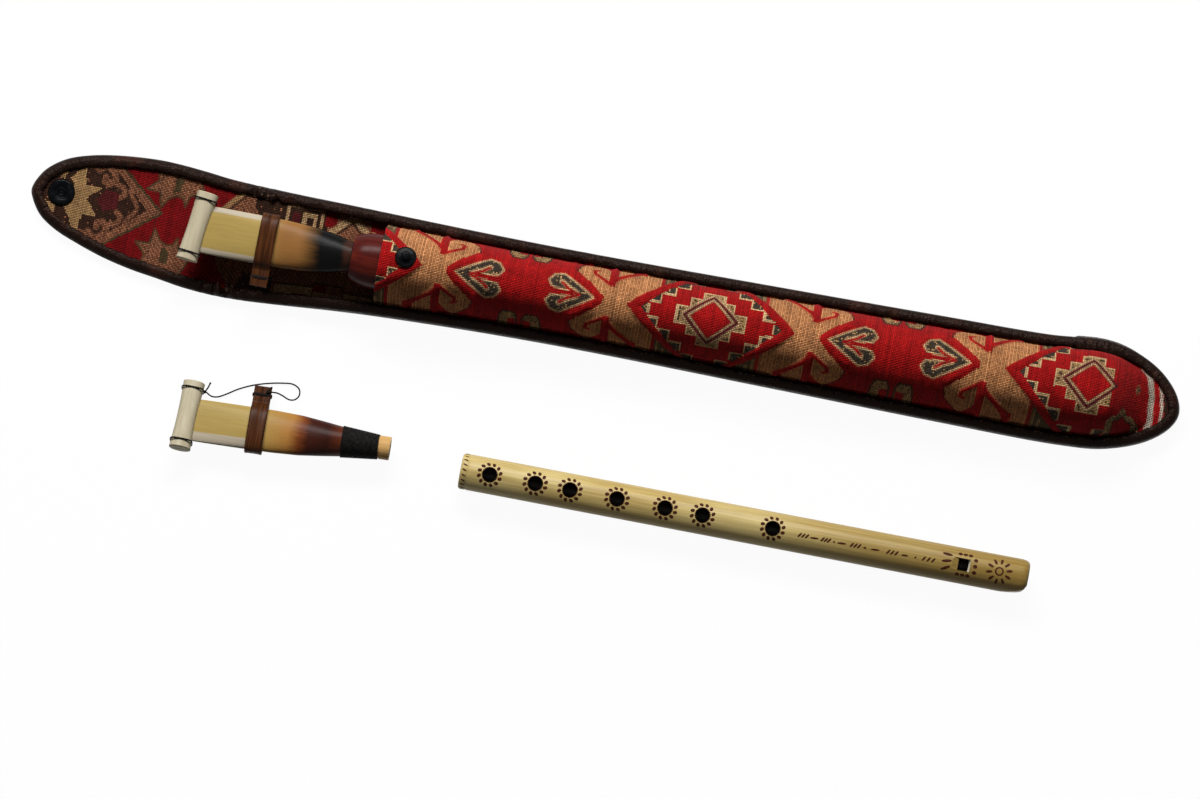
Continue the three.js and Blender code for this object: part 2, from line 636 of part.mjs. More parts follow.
// The tuning band: a cane strip bent round the reed, its two tails side by side past one edge
function tuningBand(tipWidth, tailSide) {
  const seat = reedSection(bandStart + bandWidth + bandTravel, tipWidth);
  const a = seat.half + bandGap;
  const b = seat.height + bandGap;
  const hole = new THREE.Shape();
  hole.absellipse(0, 0, a, b, 0, 2 * Math.PI);
  const squared = (grow) => {
    const points = [];
    for (let i = 0; i < 28; i++) {
      const angle = (2 * Math.PI * (i + 0.5)) / 28;
      const [c, d] = [Math.cos(angle), Math.sin(angle)];
      const y = (a + grow) * Math.sign(c) * Math.abs(c) ** 0.72;
      points.push(new THREE.Vector2(y, (b + grow) * Math.sign(d) * Math.abs(d) ** 0.72));
    }
    return points;
  };
  const ring = new THREE.Shape(squared(bandThickness));
  ring.holes.push(new THREE.Path(squared(0)));
  const extrude = { depth: bandWidth, bevelEnabled: false };
  let band = solidOf(new THREE.ExtrudeGeometry(ring, extrude));
  const root = a + bandThickness / 2;
  const tip = a + bandThickness + bandTailLength;
  const inner = bandTailSpread / 2;
  const outer = inner + bandThickness;
  const tail = (side) => new THREE.Shape([
    [root * tailSide, side * 0], [root * tailSide, side * outer], [tip * tailSide, side * outer],
    [tip * tailSide, side * inner], [(root + bandThickness) * tailSide, side * inner],
    [(root + bandThickness) * tailSide, side * 0],
  ].map(([y, z]) => new THREE.Vector2(y, z)));
  band = band.add(solidOf(new THREE.ExtrudeGeometry(tail(1), extrude)));
  band = band.add(solidOf(new THREE.ExtrudeGeometry(tail(-1), extrude)));
  const geometry = geometryOf(band);
  geometry.applyMatrix4(new THREE.Matrix4().makeBasis(
    new THREE.Vector3(0, 1, 0), new THREE.Vector3(0, 0, 1), new THREE.Vector3(1, 0, 0),
  ));
  geometry.translate(bandStart, 0, 0);
  return geometry;
}

// A tie: a few turns of thread drawn together into one flat ring
function tieRing(width, height, thickness, depth, round = 0.35) {
  const box = (grow) => {
    const r = round * Math.min(width, height) + grow;
    const [w, h] = [width / 2 + grow, height / 2 + grow];
    const points = [];
    [[1, 1], [-1, 1], [-1, -1], [1, -1]].forEach(([sx, sy], quarter) => {
      for (let i = 0; i <= 3; i++) {
        const angle = (Math.PI / 2) * (quarter + i / 3);
        points.push(new THREE.Vector2(sx * (w - r) + r * Math.cos(angle), sy * (h - r) + r * Math.sin(angle)));
      }
    });
    return points;
  };
  const shape = new THREE.Shape(box(thickness));
  shape.holes.push(new THREE.Path(box(0)));
  return new THREE.ExtrudeGeometry(shape, { depth, bevelEnabled: false });
}

function bandTie(tipWidth, tailSide) {
  const seat = reedSection(bandStart + bandWidth + bandTravel, tipWidth);
  const tailHeight = bandTailSpread + 2 * bandThickness;
  const geometry = tieRing(bandWidth + 2 * clearance, tailHeight + 2 * clearance, tieThickness, tieWidth, 0.2);
  geometry.applyMatrix4(new THREE.Matrix4().makeBasis(
    new THREE.Vector3(1, 0, 0), new THREE.Vector3(0, 0, 1), new THREE.Vector3(0, -1, 0),
  ));
  const start = seat.half + bandGap + bandThickness + 0.45 * bandTailLength;
  geometry.translate(bandStart + bandWidth / 2, tailSide * start + (tailSide > 0 ? tieWidth : 0), 0);
  return geometry;
}

// The cap: two waisted bars of pale cane tied together over the reed's tip
const capTieShare = 0.78;
function capBar(tipWidth, up, shift) {
  const rings = [];
  const steps = 12;
  const half = capBarLength / 2;
  const pocket = reedSection(0.06 * reedLength, tipWidth).height + bandGap;
  for (let i = 0; i <= steps; i++) {
    const t = -Math.cos((Math.PI * i) / steps);
    const flare = THREE.MathUtils.lerp(1, capFlare, t * t) * (Math.abs(t) > 0.995 ? 0.55 : 1);
    const w = (capBarWidth / 2) * flare;
    const h = capBarHeight * (Math.abs(t) > 0.995 ? 0.7 : 1);
    const low = clearance / 2;
    const ring = [];
    for (let j = 0; j <= 8; j++) {
      const angle = (Math.PI * j) / 8;
      const z = up * (low + (h - low) * Math.sin(angle) ** 0.8);
      ring.push(new THREE.Vector3(w * Math.cos(angle), t * half + shift, z));
    }
    rings.push(ring);
  }
  const bar = solidOf(skin(rings));
  const slotHalf = tipWidth / 2 + 2 * bandGap + capBarWidth * Math.sin(radians(8));
  const slot = new THREE.BoxGeometry(2 * capBarWidth, 2 * slotHalf, 2 * pocket);
  return geometryOf(bar.subtract(solidOf(slot)));
}

function capTie(shift, side) {
  const w = capBarWidth * THREE.MathUtils.lerp(1, capFlare, capTieShare ** 2) + 2 * clearance;
  const geometry = tieRing(w, 2 * capBarHeight + 2 * clearance, tieThickness, tieWidth, 0.44);
  geometry.rotateX(Math.PI / 2);
  geometry.translate(0, shift + side * capTieShare * (capBarLength / 2) + tieWidth / 2, 0);
  return geometry;
}

function makeReed(prefix, options) {
  const { tipWidth, tailSide, capYaw, capShift, windingSteps, windingSides, place } = options;
  const windingFrom = threadStartShare * reedLength + threadDiameter;
  const windingTo = threadEndShare * reedLength - threadDiameter;
  add(prefix + "_cane", reedCane(tipWidth), cane(), place);
  const thread = winding(windingLoops, windingFrom, windingTo, windingSteps, windingSides);
  add(prefix + "_winding", thread, blackThread(), place);
  add(prefix + "_band", tuningBand(tipWidth, tailSide), bandCane(), place);
  add(prefix + "_band_tie", bandTie(tipWidth, tailSide), blackThread(), place);
  const cap = new THREE.Group();
  cap.position.x = (capReach * capBarWidth) / 4;
  cap.rotation.z = radians(capYaw);
  place.add(cap);
  add(prefix + "_cap_upper", capBar(tipWidth, 1, capShift), paleCane(), cap);
  add(prefix + "_cap_lower", capBar(tipWidth, -1, capShift), paleCane(), cap);
  add(prefix + "_cap_tie_far", capTie(capShift, 1), blackThread(), cap);
  add(prefix + "_cap_tie_near", capTie(capShift, -1), blackThread(), cap);
}

// The reed in the duduk, pushed into the socket up to the start of its winding
const playedReed = new THREE.Group();
playedReed.position.set(dudukLipX - (reedLength - reedInsertion), dudukY, dudukZ);
outfit.add(playedReed);
makeReed("reed", {
  tipWidth: reedTipWidth, tailSide: -1, capYaw: -7, capShift: 0.6, windingSteps: 12, windingSides: 4,
  place: playedReed,
});

// The spare reed lies on its cap's far end and the swell of its neck
const spareReed = new THREE.Group();
spareReed.rotation.set(radians(spareReedRoll), 0, radians(spareReedYaw), "ZYX");
spareReed.position.set(spareReedX, spareReedY, 0);
outfit.add(spareReed);
makeReed("spare_reed", {
  tipWidth: spareReedTipWidth, tailSide: 1, capYaw: -3, capShift: 1.6, windingSteps: 18, windingSides: 5,
  place: spareReed,
});
spareReed.updateMatrixWorld(true);
const spareBox = new THREE.Box3().setFromObject(spareReed, true);
spareReed.position.z = -spareBox.min.z;

// The tether: a thin cord from the spare cap's far tie to the tail of its band
const tetherDiameter = 0.7;
const tetherRoute = [
  [97.9, -74.4, 5.2], [100.4, -75.6, 3.2], [103.2, -75.2, 1.2], [106.8, -73.2, 0.7], [111.6, -70, 0.6],
  [117.2, -67.2, 0.6], [120.7, -65.9, 0.6], [124.3, -64.8, 0.6], [130.7, -63.4, 0.6], [136.3, -62.9, 0.6],
  [139.5, -64.6, 0.6], [140.1, -67.6, 1.2], [138.5, -70, 2.7], [135.9, -70.6, 4.8], [133, -69.6, 6.5],
  [130.2, -68.9, 7.25], [125.9, -69.2, 7.23],
];
const tetherCurve = new THREE.CatmullRomCurve3(
  tetherRoute.map(([x, y, z]) => new THREE.Vector3(x, y, z)), false, "centripetal",
);
const tetherSection = new THREE.Shape();
for (let i = 0; i < 8; i++) {
  const angle = (Math.PI * (2 * i + 1)) / 8;
  const [u, v] = [(tetherDiameter / 2) * Math.cos(angle), (tetherDiameter / 2) * Math.sin(angle)];
  if (i === 0) tetherSection.moveTo(u, v);
  else tetherSection.lineTo(u, v);
}
tetherSection.closePath();
const tetherSteps = Math.round(tetherCurve.getLength() / (3 * tetherDiameter));
const tether = new THREE.ExtrudeGeometry(tetherSection, {
  steps: tetherSteps, extrudePath: tetherCurve, bevelEnabled: false,
});
const tetherMesh = add("spare_reed_tether", tether, blackThread());
console.log("tether length", tetherCurve.getLength().toFixed(1), "mm in", tetherSteps, "steps");

// The fipple pipe: a burnt cane tube, seven holes, a window over a wooden block
const pipeHoleDiameter = 6.8;
const pipeHoleShares = [0.0517, 0.1319, 0.193, 0.2758, 0.3604, 0.4265, 0.5498];
const windowShare = 0.8863;
const windowLength = 5.6;
const windowWidth = 5.8;
const blockEnd = windowShare * pipeLength + windowLength / 2;
const rampLength = 9;
const windwayDepth = 1.1;
const beakLength = 11.2;
const beakDepth = 4.6;
const endGroove = 3.6;
const grooveDepth = 0.25;

const pipeR = pipeDiameter / 2;
const endRound = 0.5;
let pipe = solidOf(turned([
  [0, pipeBore / 2], [0, pipeR - endRound], [endRound, pipeR], [endGroove - grooveDepth, pipeR],
  [endGroove, pipeR - grooveDepth], [endGroove + grooveDepth, pipeR], [pipeLength - endRound, pipeR],
  [pipeLength, pipeR - endRound], [pipeLength, pipeBore / 2],
], 28));
pipeHoleShares.forEach((share) => {
  pipe = pipe.subtract(solidOf(rod(pipeHoleDiameter / 2, 0, pipeDiameter, share * pipeLength, 0, 14)));
});
const windowStart = blockEnd - windowLength;
const windowCut = new THREE.BoxGeometry(windowLength, windowWidth, pipeR);
windowCut.translate(blockEnd - windowLength / 2, 0, pipeR);
pipe = pipe.subtract(solidOf(windowCut));
const rampRing = (y) => [
  [windowStart + clearance, pipeBore / 2 + 0.3 * windwayDepth], [windowStart + clearance, pipeDiameter],
  [windowStart - rampLength, pipeDiameter], [windowStart - rampLength, pipeR],
].map(([x, z]) => new THREE.Vector3(x, y, z));
pipe = pipe.subtract(solidOf(skin([rampRing(-windowWidth / 2), rampRing(windowWidth / 2)])));
const beakRing = (z) => [
  [pipeLength + overrun, -pipeR + beakDepth + (overrun * beakDepth) / beakLength],
  [pipeLength - beakLength - overrun, -pipeR - (overrun * beakDepth) / beakLength],
  [pipeLength + overrun, -pipeDiameter],
].map(([x, y]) => new THREE.Vector3(x, y, z));
const beakCut = solidOf(skin([beakRing(-pipeDiameter), beakRing(pipeDiameter)]));
pipe = pipe.subtract(beakCut);

let block = solidOf(turned([
  [blockEnd, 0], [blockEnd, pipeBore / 2 - clearance], [pipeLength - clearance, pipeBore / 2 - clearance],
  [pipeLength - clearance, 0],
], 28));
const windway = new THREE.BoxGeometry(pipeLength, windowWidth - 2 * clearance, windwayDepth + overrun);
windway.translate(pipeLength, 0, pipeBore / 2 - clearance + overrun / 2 - windwayDepth / 2);
block = block.subtract(solidOf(windway)).subtract(beakCut.translate([-clearance, clearance, 0]));
const pipePlace = new THREE.Group();
pipePlace.position.set(pipeX, pipeY, pipeR);
outfit.add(pipePlace);
add("pipe_tube", geometryOf(pipe), pipeCane(), pipePlace);
add("pipe_block", geometryOf(block), paleCane(), pipePlace);

// The set stands on its bottom centre, measured without the free cord
outfit.remove(tetherMesh);
outfit.updateMatrixWorld(true);
const whole = new THREE.Box3().setFromObject(outfit, true);
outfit.add(tetherMesh);
const middle = whole.getCenter(new THREE.Vector3());
outfit.position.set(-middle.x, -middle.y, 0);

export default outfit;
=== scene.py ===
import math

import bmesh
import bpy
import numpy as np
from mathutils import Matrix, Vector


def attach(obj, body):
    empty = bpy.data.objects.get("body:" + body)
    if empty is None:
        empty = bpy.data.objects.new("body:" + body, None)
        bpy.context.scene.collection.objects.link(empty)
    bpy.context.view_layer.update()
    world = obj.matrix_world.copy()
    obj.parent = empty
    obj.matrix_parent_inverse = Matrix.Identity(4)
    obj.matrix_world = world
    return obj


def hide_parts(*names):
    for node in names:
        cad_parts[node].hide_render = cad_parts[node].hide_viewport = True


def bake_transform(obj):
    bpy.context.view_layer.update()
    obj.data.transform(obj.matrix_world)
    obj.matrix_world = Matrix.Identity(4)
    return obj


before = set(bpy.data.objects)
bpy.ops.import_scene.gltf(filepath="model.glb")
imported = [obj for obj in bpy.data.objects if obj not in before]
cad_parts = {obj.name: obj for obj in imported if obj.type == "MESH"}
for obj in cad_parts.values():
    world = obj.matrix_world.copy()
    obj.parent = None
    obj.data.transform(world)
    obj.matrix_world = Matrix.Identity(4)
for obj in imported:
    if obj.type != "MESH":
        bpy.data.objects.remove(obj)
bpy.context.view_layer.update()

MM = 0.001
TO_METRES = Matrix.Diagonal((MM, MM, MM, 1))


# --- Camera -----------------------------------------------------------------------------------
# The set is photographed almost from straight above, from the side of the loose reed and pipe.
# The camera is rolled, so that the case slopes down to the right across the picture.

CAMERA_TARGET = Vector((0.0066, -0.0053, 0.0))
CAMERA_DISTANCE = 3.0
CAMERA_HEIGHT_ANGLE = math.radians(84.0)
CAMERA_ROLL = math.radians(10.8)
PICTURE_WIDTH = 0.5545

picture_right = Vector((math.cos(CAMERA_ROLL), math.sin(CAMERA_ROLL), 0.0))
picture_up = Vector((-math.sin(CAMERA_ROLL), math.cos(CAMERA_ROLL), 0.0))
towards_camera = (
    Vector((0, 0, 1)) * math.sin(CAMERA_HEIGHT_ANGLE) - picture_up * math.cos(CAMERA_HEIGHT_ANGLE)
)
camera_up = towards_camera.cross(picture_right)
camera_data = bpy.data.cameras.new("camera")
camera_data.sensor_width = 36.0
camera_data.lens = camera_data.sensor_width * CAMERA_DISTANCE / PICTURE_WIDTH


def in_scene(name, data):
    obj = bpy.data.objects.new(name, data)
    bpy.context.scene.collection.objects.link(obj)
    return obj


camera = in_scene("camera", camera_data)
camera.matrix_world = Matrix.Translation(CAMERA_TARGET + towards_camera * CAMERA_DISTANCE) @ Matrix(
    (picture_right, camera_up, towards_camera)
).transposed().to_4x4()
bpy.context.scene.camera = camera


# --- Materials as expressions -----------------------------------------------------------------
# A Field is a number that changes over a surface, and arithmetic on it adds the Math nodes.
# A Finish is one material; its node() adds any other node, with settings before sockets.


class Field:
    def __init__(self, finish, socket):
        self.finish, self.socket = finish, socket

    def math(self, operation, *others):
        return self.finish.field("ShaderNodeMath", {"operation": operation}, dict(enumerate((self, *others))))

    def __add__(self, other):
        return self.math("ADD", other)

    def __sub__(self, other):
        return self.math("SUBTRACT", other)

    def __mul__(self, other):
        return self.math("MULTIPLY", other)

    __radd__, __rmul__ = __add__, __mul__

    def __rsub__(self, other):
        return self.math("MULTIPLY_ADD", -1.0, other)

    def step(self, low, high):
        """0 below low and 1 above high, smooth between; the two may be the other way round."""
        ends = (low, high, 0.0, 1.0) if low < high else (high, low, 1.0, 0.0)
        settings = {"interpolation_type": "SMOOTHSTEP"}
        return self.finish.field("ShaderNodeMapRange", settings, dict(enumerate((self, *ends))))


class Finish:
    def __init__(self, name, slot=None, **uniform):
        """A material whose shader has these values. The slot name, or its own name, is kept in self.slot,
        which nothing here reads.
        """
        self.slot = slot or name
        self.material = bpy.data.materials.new(name)
        self.material.use_nodes = True
        self.tree = self.material.node_tree
        self.shader = self.tree.nodes["Principled BSDF"]
        for socket, value in uniform.items():
            title = socket.replace("_", " ").title().replace("Ior", "IOR")
            self.shader.inputs[title].default_value = value
        self.coordinates = self.tree.nodes.new("ShaderNodeTexCoord")
        self.place = self.coordinates.outputs["Object"]

    def node(self, kind, settings, sockets):
        node = self.tree.nodes.new(kind)
        for name, value in settings.items():
            setattr(node, name, value)
        for name, value in sockets.items():
            if isinstance(value, Field):
                value = value.socket
            if isinstance(value, bpy.types.NodeSocket):
                self.tree.links.new(value, node.inputs[name])
            else:
                node.inputs[name].default_value = value
        return node

    def field(self, kind, settings, sockets, output=0):
        return Field(self, self.node(kind, settings, sockets).outputs[output])

    def attribute(self, name, output="Fac"):
        """What the mesh itself says at each place, under the name of one of its layers."""
        return self.field("ShaderNodeAttribute", {"attribute_name": name}, {}, output)

    def stretched(self, x=1.0, y=1.0, z=1.0, source=None):
        return self.field("ShaderNodeMapping", {}, {"Vector": source or self.place, "Scale": (x, y, z)})

    def noise(self, scale, detail=3.0, rough=0.5, at=None):
        sockets = {"Vector": at or self.place, "Scale": scale, "Detail": detail, "Roughness": rough}
        return self.field("ShaderNodeTexNoise", {}, sockets)

    def axis(self, name, source=None):
        return self.field("ShaderNodeSeparateXYZ", {}, {0: source or self.place}, name)

    def ramp(self, value, *stops):
        """Colours at places from 0 to 1, each given as (place, colour)."""
        node = self.node("ShaderNodeValToRGB", {}, {0: value})
        elements = node.color_ramp.elements
        while len(elements) < len(stops):
            elements.new(1.0)
        for element, (position, colour) in zip(elements, stops):
            element.position, element.color = position, (*colour, 1.0)
        return node.outputs[0]

    def mix(self, share, first, second, blend="MIX"):
        """Colours: first where share is 0, second where it is 1."""
        first, second = ((*c, 1.0) if isinstance(c, tuple) else c for c in (first, second))
        settings = {"data_type": "RGBA", "blend_type": blend}
        return self.node("ShaderNodeMix", settings, {0: share, 6: first, 7: second}).outputs[2]

    def times(self, first, second):
        return self.mix(1.0, first, second, "MULTIPLY")

    def colour(self, socket):
        self.tree.links.new(socket, self.shader.inputs["Base Color"])

    def rough(self, value):
        self.tree.links.new(value.socket, self.shader.inputs["Roughness"])

    def relief(self, height, depth):
        """A bump of this height field, where 1 stands for a depth in metres."""
        bump = self.node("ShaderNodeBump", {}, {"Height": height, "Distance": depth})
        self.tree.links.new(bump.outputs[0], self.shader.inputs["Normal"])


# --- Table top and light ----------------------------------------------------------------------
# A seamless white table under one broad soft lamp beyond the far side of the set, so that every
# piece is bright on that side and dark on the near one, and a weak even light all round. Rays
# that show the backdrop itself meet a white one.

bpy.context.scene.view_settings.view_transform = "Standard"

FLOOR_SIZE, FLOOR_GREY = 6.0, 0.4
FLOOR_SHINE, SHINE_SHARE = 1.06, 0.9
AMBIENT, WHITE = 0.055, (1.0, 1.0, 1.0, 1.0)
LAMP_SIZE, LAMP_POWER = (1.3, 0.45), 47.0
lamp_place = picture_up * 1.2 + Vector((-0.1, 0, 1.12))


def mesh_of(name, bm):
    mesh = bpy.data.meshes.new(name)
    bm.to_mesh(mesh)
    bm.free()
    return mesh


floor_grid = bmesh.new()
bmesh.ops.create_grid(floor_grid, x_segments=1, y_segments=1, size=FLOOR_SIZE / 2)
floor = in_scene("floor", mesh_of("floor", floor_grid))


def seen_rays(tree):
    """1 for rays that show the backdrop itself: from the camera, in a gloss or through glass."""
    path = tree.nodes.new("ShaderNodeLightPath")
    total = path.outputs["Is Camera Ray"]
    for name in ("Is Glossy Ray", "Is Transmission Ray"):
        node = tree.nodes.new("ShaderNodeMath")
        node.operation = "ADD"
        node.use_clamp = True
        tree.links.new(total, node.inputs[0])
        tree.links.new(path.outputs[name], node.inputs[1])
        total = node.outputs[0]
    return total


table_top = Finish(
    "table_top", base_color=(FLOOR_GREY, FLOOR_GREY, FLOOR_GREY, 1.0), roughness=0.9, specular_ior_level=0.0,
)
shine = table_top.node("ShaderNodeEmission", {}, {"Color": WHITE, "Strength": FLOOR_SHINE})
shine_share = Field(table_top, seen_rays(table_top.tree)) * SHINE_SHARE
shaders = {0: shine_share, 1: table_top.shader.outputs[0], 2: shine.outputs[0]}
both = table_top.node("ShaderNodeMixShader", {}, shaders)
table_top.tree.links.new(both.outputs[0], table_top.tree.nodes["Material Output"].inputs[0])
floor.data.materials.append(table_top.material)

world = bpy.data.worlds.new("studio")
bpy.context.scene.world = world
world.use_nodes = True
sky = world.node_tree
ambient = sky.nodes["Background"]
ambient.inputs["Color"].default_value = WHITE
ambient.inputs["Strength"].default_value = AMBIENT
white_wall = sky.nodes.new("ShaderNodeBackground")
either = sky.nodes.new("ShaderNodeMixShader")
sky.links.new(seen_rays(sky), either.inputs[0])
sky.links.new(ambient.outputs[0], either.inputs[1])
sky.links.new(white_wall.outputs[0], either.inputs[2])
sky.links.new(either.outputs[0], sky.nodes["World Output"].inputs[0])

lamp_data = bpy.data.lights.new("lamp_far", "AREA")
lamp_data.shape = "RECTANGLE"
lamp_data.size, lamp_data.size_y = LAMP_SIZE
lamp_data.energy = LAMP_POWER
lamp = in_scene("lamp_far", lamp_data)
lamp.location = lamp_place
lamp.rotation_euler = lamp_place.to_track_quat("Z", "Y").to_euler()


# --- Tether of the loose reed -----------------------------------------------------------------
# A thin waxed black thread. It leaves the far tie of the cap, lies on the table, makes one small
# loop and runs back over the tail of the tuning band to its tie. Shapes are in millimetres from
# the tip of the flap, and piece() brings them to metres in the set.

TIP_TO_SET = Matrix.Translation((-270.306, 37.875, 0))
TETHER_DIAMETER = 0.7
tether_route = [
    (97.9, -74.4, 5.2), (100.4, -75.6, 3.2), (103.2, -75.2, 1.2), (106.8, -73.2, 0.7), (111.6, -70, 0.6),
    (117.2, -67.2, 0.6), (120.7, -65.9, 0.6), (124.3, -64.8, 0.6), (130.7, -63.4, 0.6), (136.3, -62.9, 0.6),
    (139.5, -64.6, 0.6), (140.1, -67.6, 1.2), (138.5, -70, 2.7), (135.9, -70.6, 4.8), (133, -69.6, 6.5),
    (130.2, -68.9, 7.25), (125.9, -69.2, 7.23),
]


def centripetal(points, closed, steps):
    """Points of the smooth curve through the given ones, a number of steps to each span."""
    points = [Vector(p) for p in points]
    if closed:
        row = [points[-1], *points, points[0], points[1]]
    else:
        row = [2 * points[0] - points[1], *points, 2 * points[-1] - points[-2]]
    curve = []
    for a, b, c, d in zip(row, row[1:], row[2:], row[3:]):
        d0, d1, d2 = ((q - p).length ** 0.5 for p, q in ((a, b), (b, c), (c, d)))
        start = ((b - a) / d0 - (c - a) / (d0 + d1) + (c - b) / d1) * d1
        end = ((c - b) / d1 - (d - b) / (d1 + d2) + (d - c) / d2) * d1
        for t in (i / steps for i in range(steps)):
            bend, twist = 3 * (c - b) - 2 * start - end, 2 * (b - c) + start + end
            curve.append(b + start * t + bend * t * t + twist * t ** 3)
    return curve if closed else [*curve, points[-1]]


def lofted(rings, capped=True):
    """A skin over closed rings of points, closed at both ends too where it is capped."""
    rows, columns = len(rings), len(rings[0])
    bm = bmesh.new()
    bm.loops.layers.uv.verify()
    bmesh.ops.create_grid(bm, x_segments=rows - 1, y_segments=columns, size=1.0, calc_uvs=True)
    for vertex in bm.verts:
        i, j = round((vertex.co.x + 1) / 2 * (rows - 1)), round((vertex.co.y + 1) / 2 * columns)
        vertex.co = rings[i][j % columns]
    bmesh.ops.remove_doubles(bm, verts=bm.verts, dist=1e-5)
    if capped:
        bmesh.ops.holes_fill(bm, edges=[e for e in bm.edges if e.is_boundary], sides=0)
    return bm


def in_threes(row, closed):
    """Each item of the row with the one before it and the one after it."""
    first, last = (row[-1], row[0]) if closed else (row[0], row[-1])
    return zip([first, *row], row, [*row[1:], last])


def tube(path, radius, sides, first_up=Vector((0, 0, 1))):
    """A round cord along a path; each section turns as little as can be from the one before."""
    rings, up = [], first_up
    turns = [2 * math.pi * j / sides for j in range(sides)]
    for before, point, after in in_threes(path, False):
        ahead = (after - before).normalized()
        up = (up - ahead * up.dot(ahead)).normalized()
        side = ahead.cross(up)
        rings.append([point + (up * math.cos(a) + side * math.sin(a)) * radius for a in turns])
    return lofted(rings)


def moved(bm, matrix):
    bmesh.ops.transform(bm, matrix=matrix, verts=bm.verts)
    return bm


def piece(name, bm, place, finish, body=None, crease=40.0):
    """The finished mesh as an object in metres, with its place in its mesh."""
    bmesh.ops.recalc_face_normals(bm, faces=bm.faces)
    mesh = mesh_of(name, moved(bm, TO_METRES @ place))
    mesh.shade_smooth()
    mesh.set_sharp_from_angle(angle=math.radians(crease))
    mesh.materials.append(finish.material)
    obj = in_scene(name, mesh)
    if body:
        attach(obj, body)
    return obj


waxed_thread = Finish("waxed_thread", "black_thread", roughness=0.55, specular_ior_level=0.03)
waxed_thread.colour(waxed_thread.ramp(
    waxed_thread.noise(900.0, detail=2.0), (0.3, (0.004, 0.004, 0.004)), (0.8, (0.02, 0.017, 0.016)),
))
waxed_thread.relief(waxed_thread.noise(2600.0, detail=1.0), 0.00012)

tether_path = centripetal(tether_route, False, 6)
tether = piece(
    "spare_reed_tether_cord", tube(tether_path, TETHER_DIAMETER / 2, 10), TIP_TO_SET, waxed_thread,
)
tether_line = [tuple(TIP_TO_SET @ p * MM) for p in tether_path]
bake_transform(tether)
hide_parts("spare_reed_tether")


# --- Kilim cloth ------------------------------------------------------------------------------
# The case is hand-woven wool: one long back cloth, whose end is the flap, and a front cloth that
# arches over the duduk. Each is a grid with one face for each stitch of the weave, and each
# stitch has its own dye, so the stepped edges of the pattern are the stitches themselves.

CASE_LENGTH, CASE_HALF_WIDTH = 540.6, 25.0
LEATHER, BINDING_WIDTH = 1.2, 5.4
PLAY = 0.3
BACK_THICKNESS, FRONT_THICKNESS = 2.2, 1.8
MOUTH_X, RISER_MIDDLE_X = 166.0, 59.0
CLOTH_INSET, CLOTH_END_INSET = 1.7, 2.2
FRONT_HALF_ACROSS, BACK_HALF_ACROSS = 52.0, 29.5
FRONT_WALL, BACK_WALL = FRONT_THICKNESS - 0.3, BACK_THICKNESS - 0.5
STITCH = 0.77
far_edge_shares = [
    (0.0, 0.15), (0.006, 0.47), (0.0139, 0.656), (0.0265, 0.832), (0.0453, 0.968), (0.0703, 1.064),
    (0.1016, 1.116), (0.1204, 1.108), (0.1454, 1.064), (0.1706, 1.008), (0.307, 0.928), (0.4514, 0.888),
    (0.66, 0.93), (0.7917, 0.968), (0.88, 1.0), (0.9265, 1.084), (0.9528, 0.988), (0.9791, 0.7),
    (0.9961, 0.296),
]
near_edge_shares = [
    (0.0026, -0.03), (0.0115, -0.304), (0.0265, -0.52), (0.0453, -0.684), (0.0703, -0.86),
    (0.0955, -0.984), (0.1204, -1.064), (0.1454, -1.144), (0.1829, -1.18), (0.307, -1.008),
    (0.4514, -0.92), (0.66, -0.955), (0.7917, -0.988), (0.904, -0.988), (0.9415, -0.908),
    (0.9754, -0.64), (0.9941, -0.312), (1.0, -0.028),
]
smooth_outline = centripetal(
    [(a * CASE_LENGTH, b * CASE_HALF_WIDTH, 0) for a, b in [*far_edge_shares, *near_edge_shares[::-1]]],
    True, 32,
)
outline = []
for p, q in zip(smooth_outline, [*smooth_outline[1:], smooth_outline[0]]):
    outline.append(p)
    if (p.x - RISER_MIDDLE_X) * (q.x - RISER_MIDDLE_X) < 0:
        outline.append(p.lerp(q, (RISER_MIDDLE_X - p.x) / (q.x - p.x)))


def smooth_share(low, high, value):
    t = min(max((value - low) / (high - low), 0.0), 1.0)
    return t * t * (3 - 2 * t)


def edge_table(side):
    """Where the outline crosses each of a row of stations, on the far side (1) or near side (-1)."""
    stations = np.arange(0.0, CASE_LENGTH, 0.5)
    found = np.zeros(len(stations))
    for p, q in zip(outline, [*outline[1:], outline[0]]):
        low, high = min(p.x, q.x), max(p.x, q.x)
        hit = (stations >= low) & (stations <= high)
        if high > low:
            y = p.y + (q.y - p.y) * (stations[hit] - p.x) / (q.x - p.x)
            found[hit] = np.maximum(found[hit], y) if side > 0 else np.minimum(found[hit], y)
    return stations, found


edges = {side: edge_table(side) for side in (1, -1)}


def edge_at(x, side):
    return float(np.interp(x, *edges[side]))


def middle_at(x):
    return (edge_at(x, 1) + edge_at(x, -1)) / 2


def cloth_side(x, side, inset):
    """The cloth's edge at x, inside the outline by an inset square to it."""
    slope = (edge_at(x + 1, side) - edge_at(x - 1, side)) / 2
    edge = edge_at(x, side) - side * inset * math.hypot(1, slope)
    least = middle_at(x) + side * LEATHER
    return max(edge, least) if side > 0 else min(edge, least)


def back_bottom(x):
    """The pouch is thicker than the flap, so its back cloth lies higher."""
    return LEATHER + PLAY + 1.3 * smooth_share(0.16 * CASE_LENGTH, 0.24 * CASE_LENGTH, x)


def back_top(x):
    return back_bottom(x) + BACK_THICKNESS


FRONT_BOTTOM = back_top(MOUTH_X) + PLAY
LIP_X, DUDUK_Y, DUDUK_LENGTH, BULB, TUBE = 153.0, -1.7, 340.0, 25.5, 20.0
DUDUK_Z = FRONT_BOTTOM + BULB / 2
BULB_CLEAR, TUBE_CLEAR = 2.05, 1.8
SEAM_FROM, SEAM_TO = CASE_LENGTH - 16.2, CASE_LENGTH - 8.6


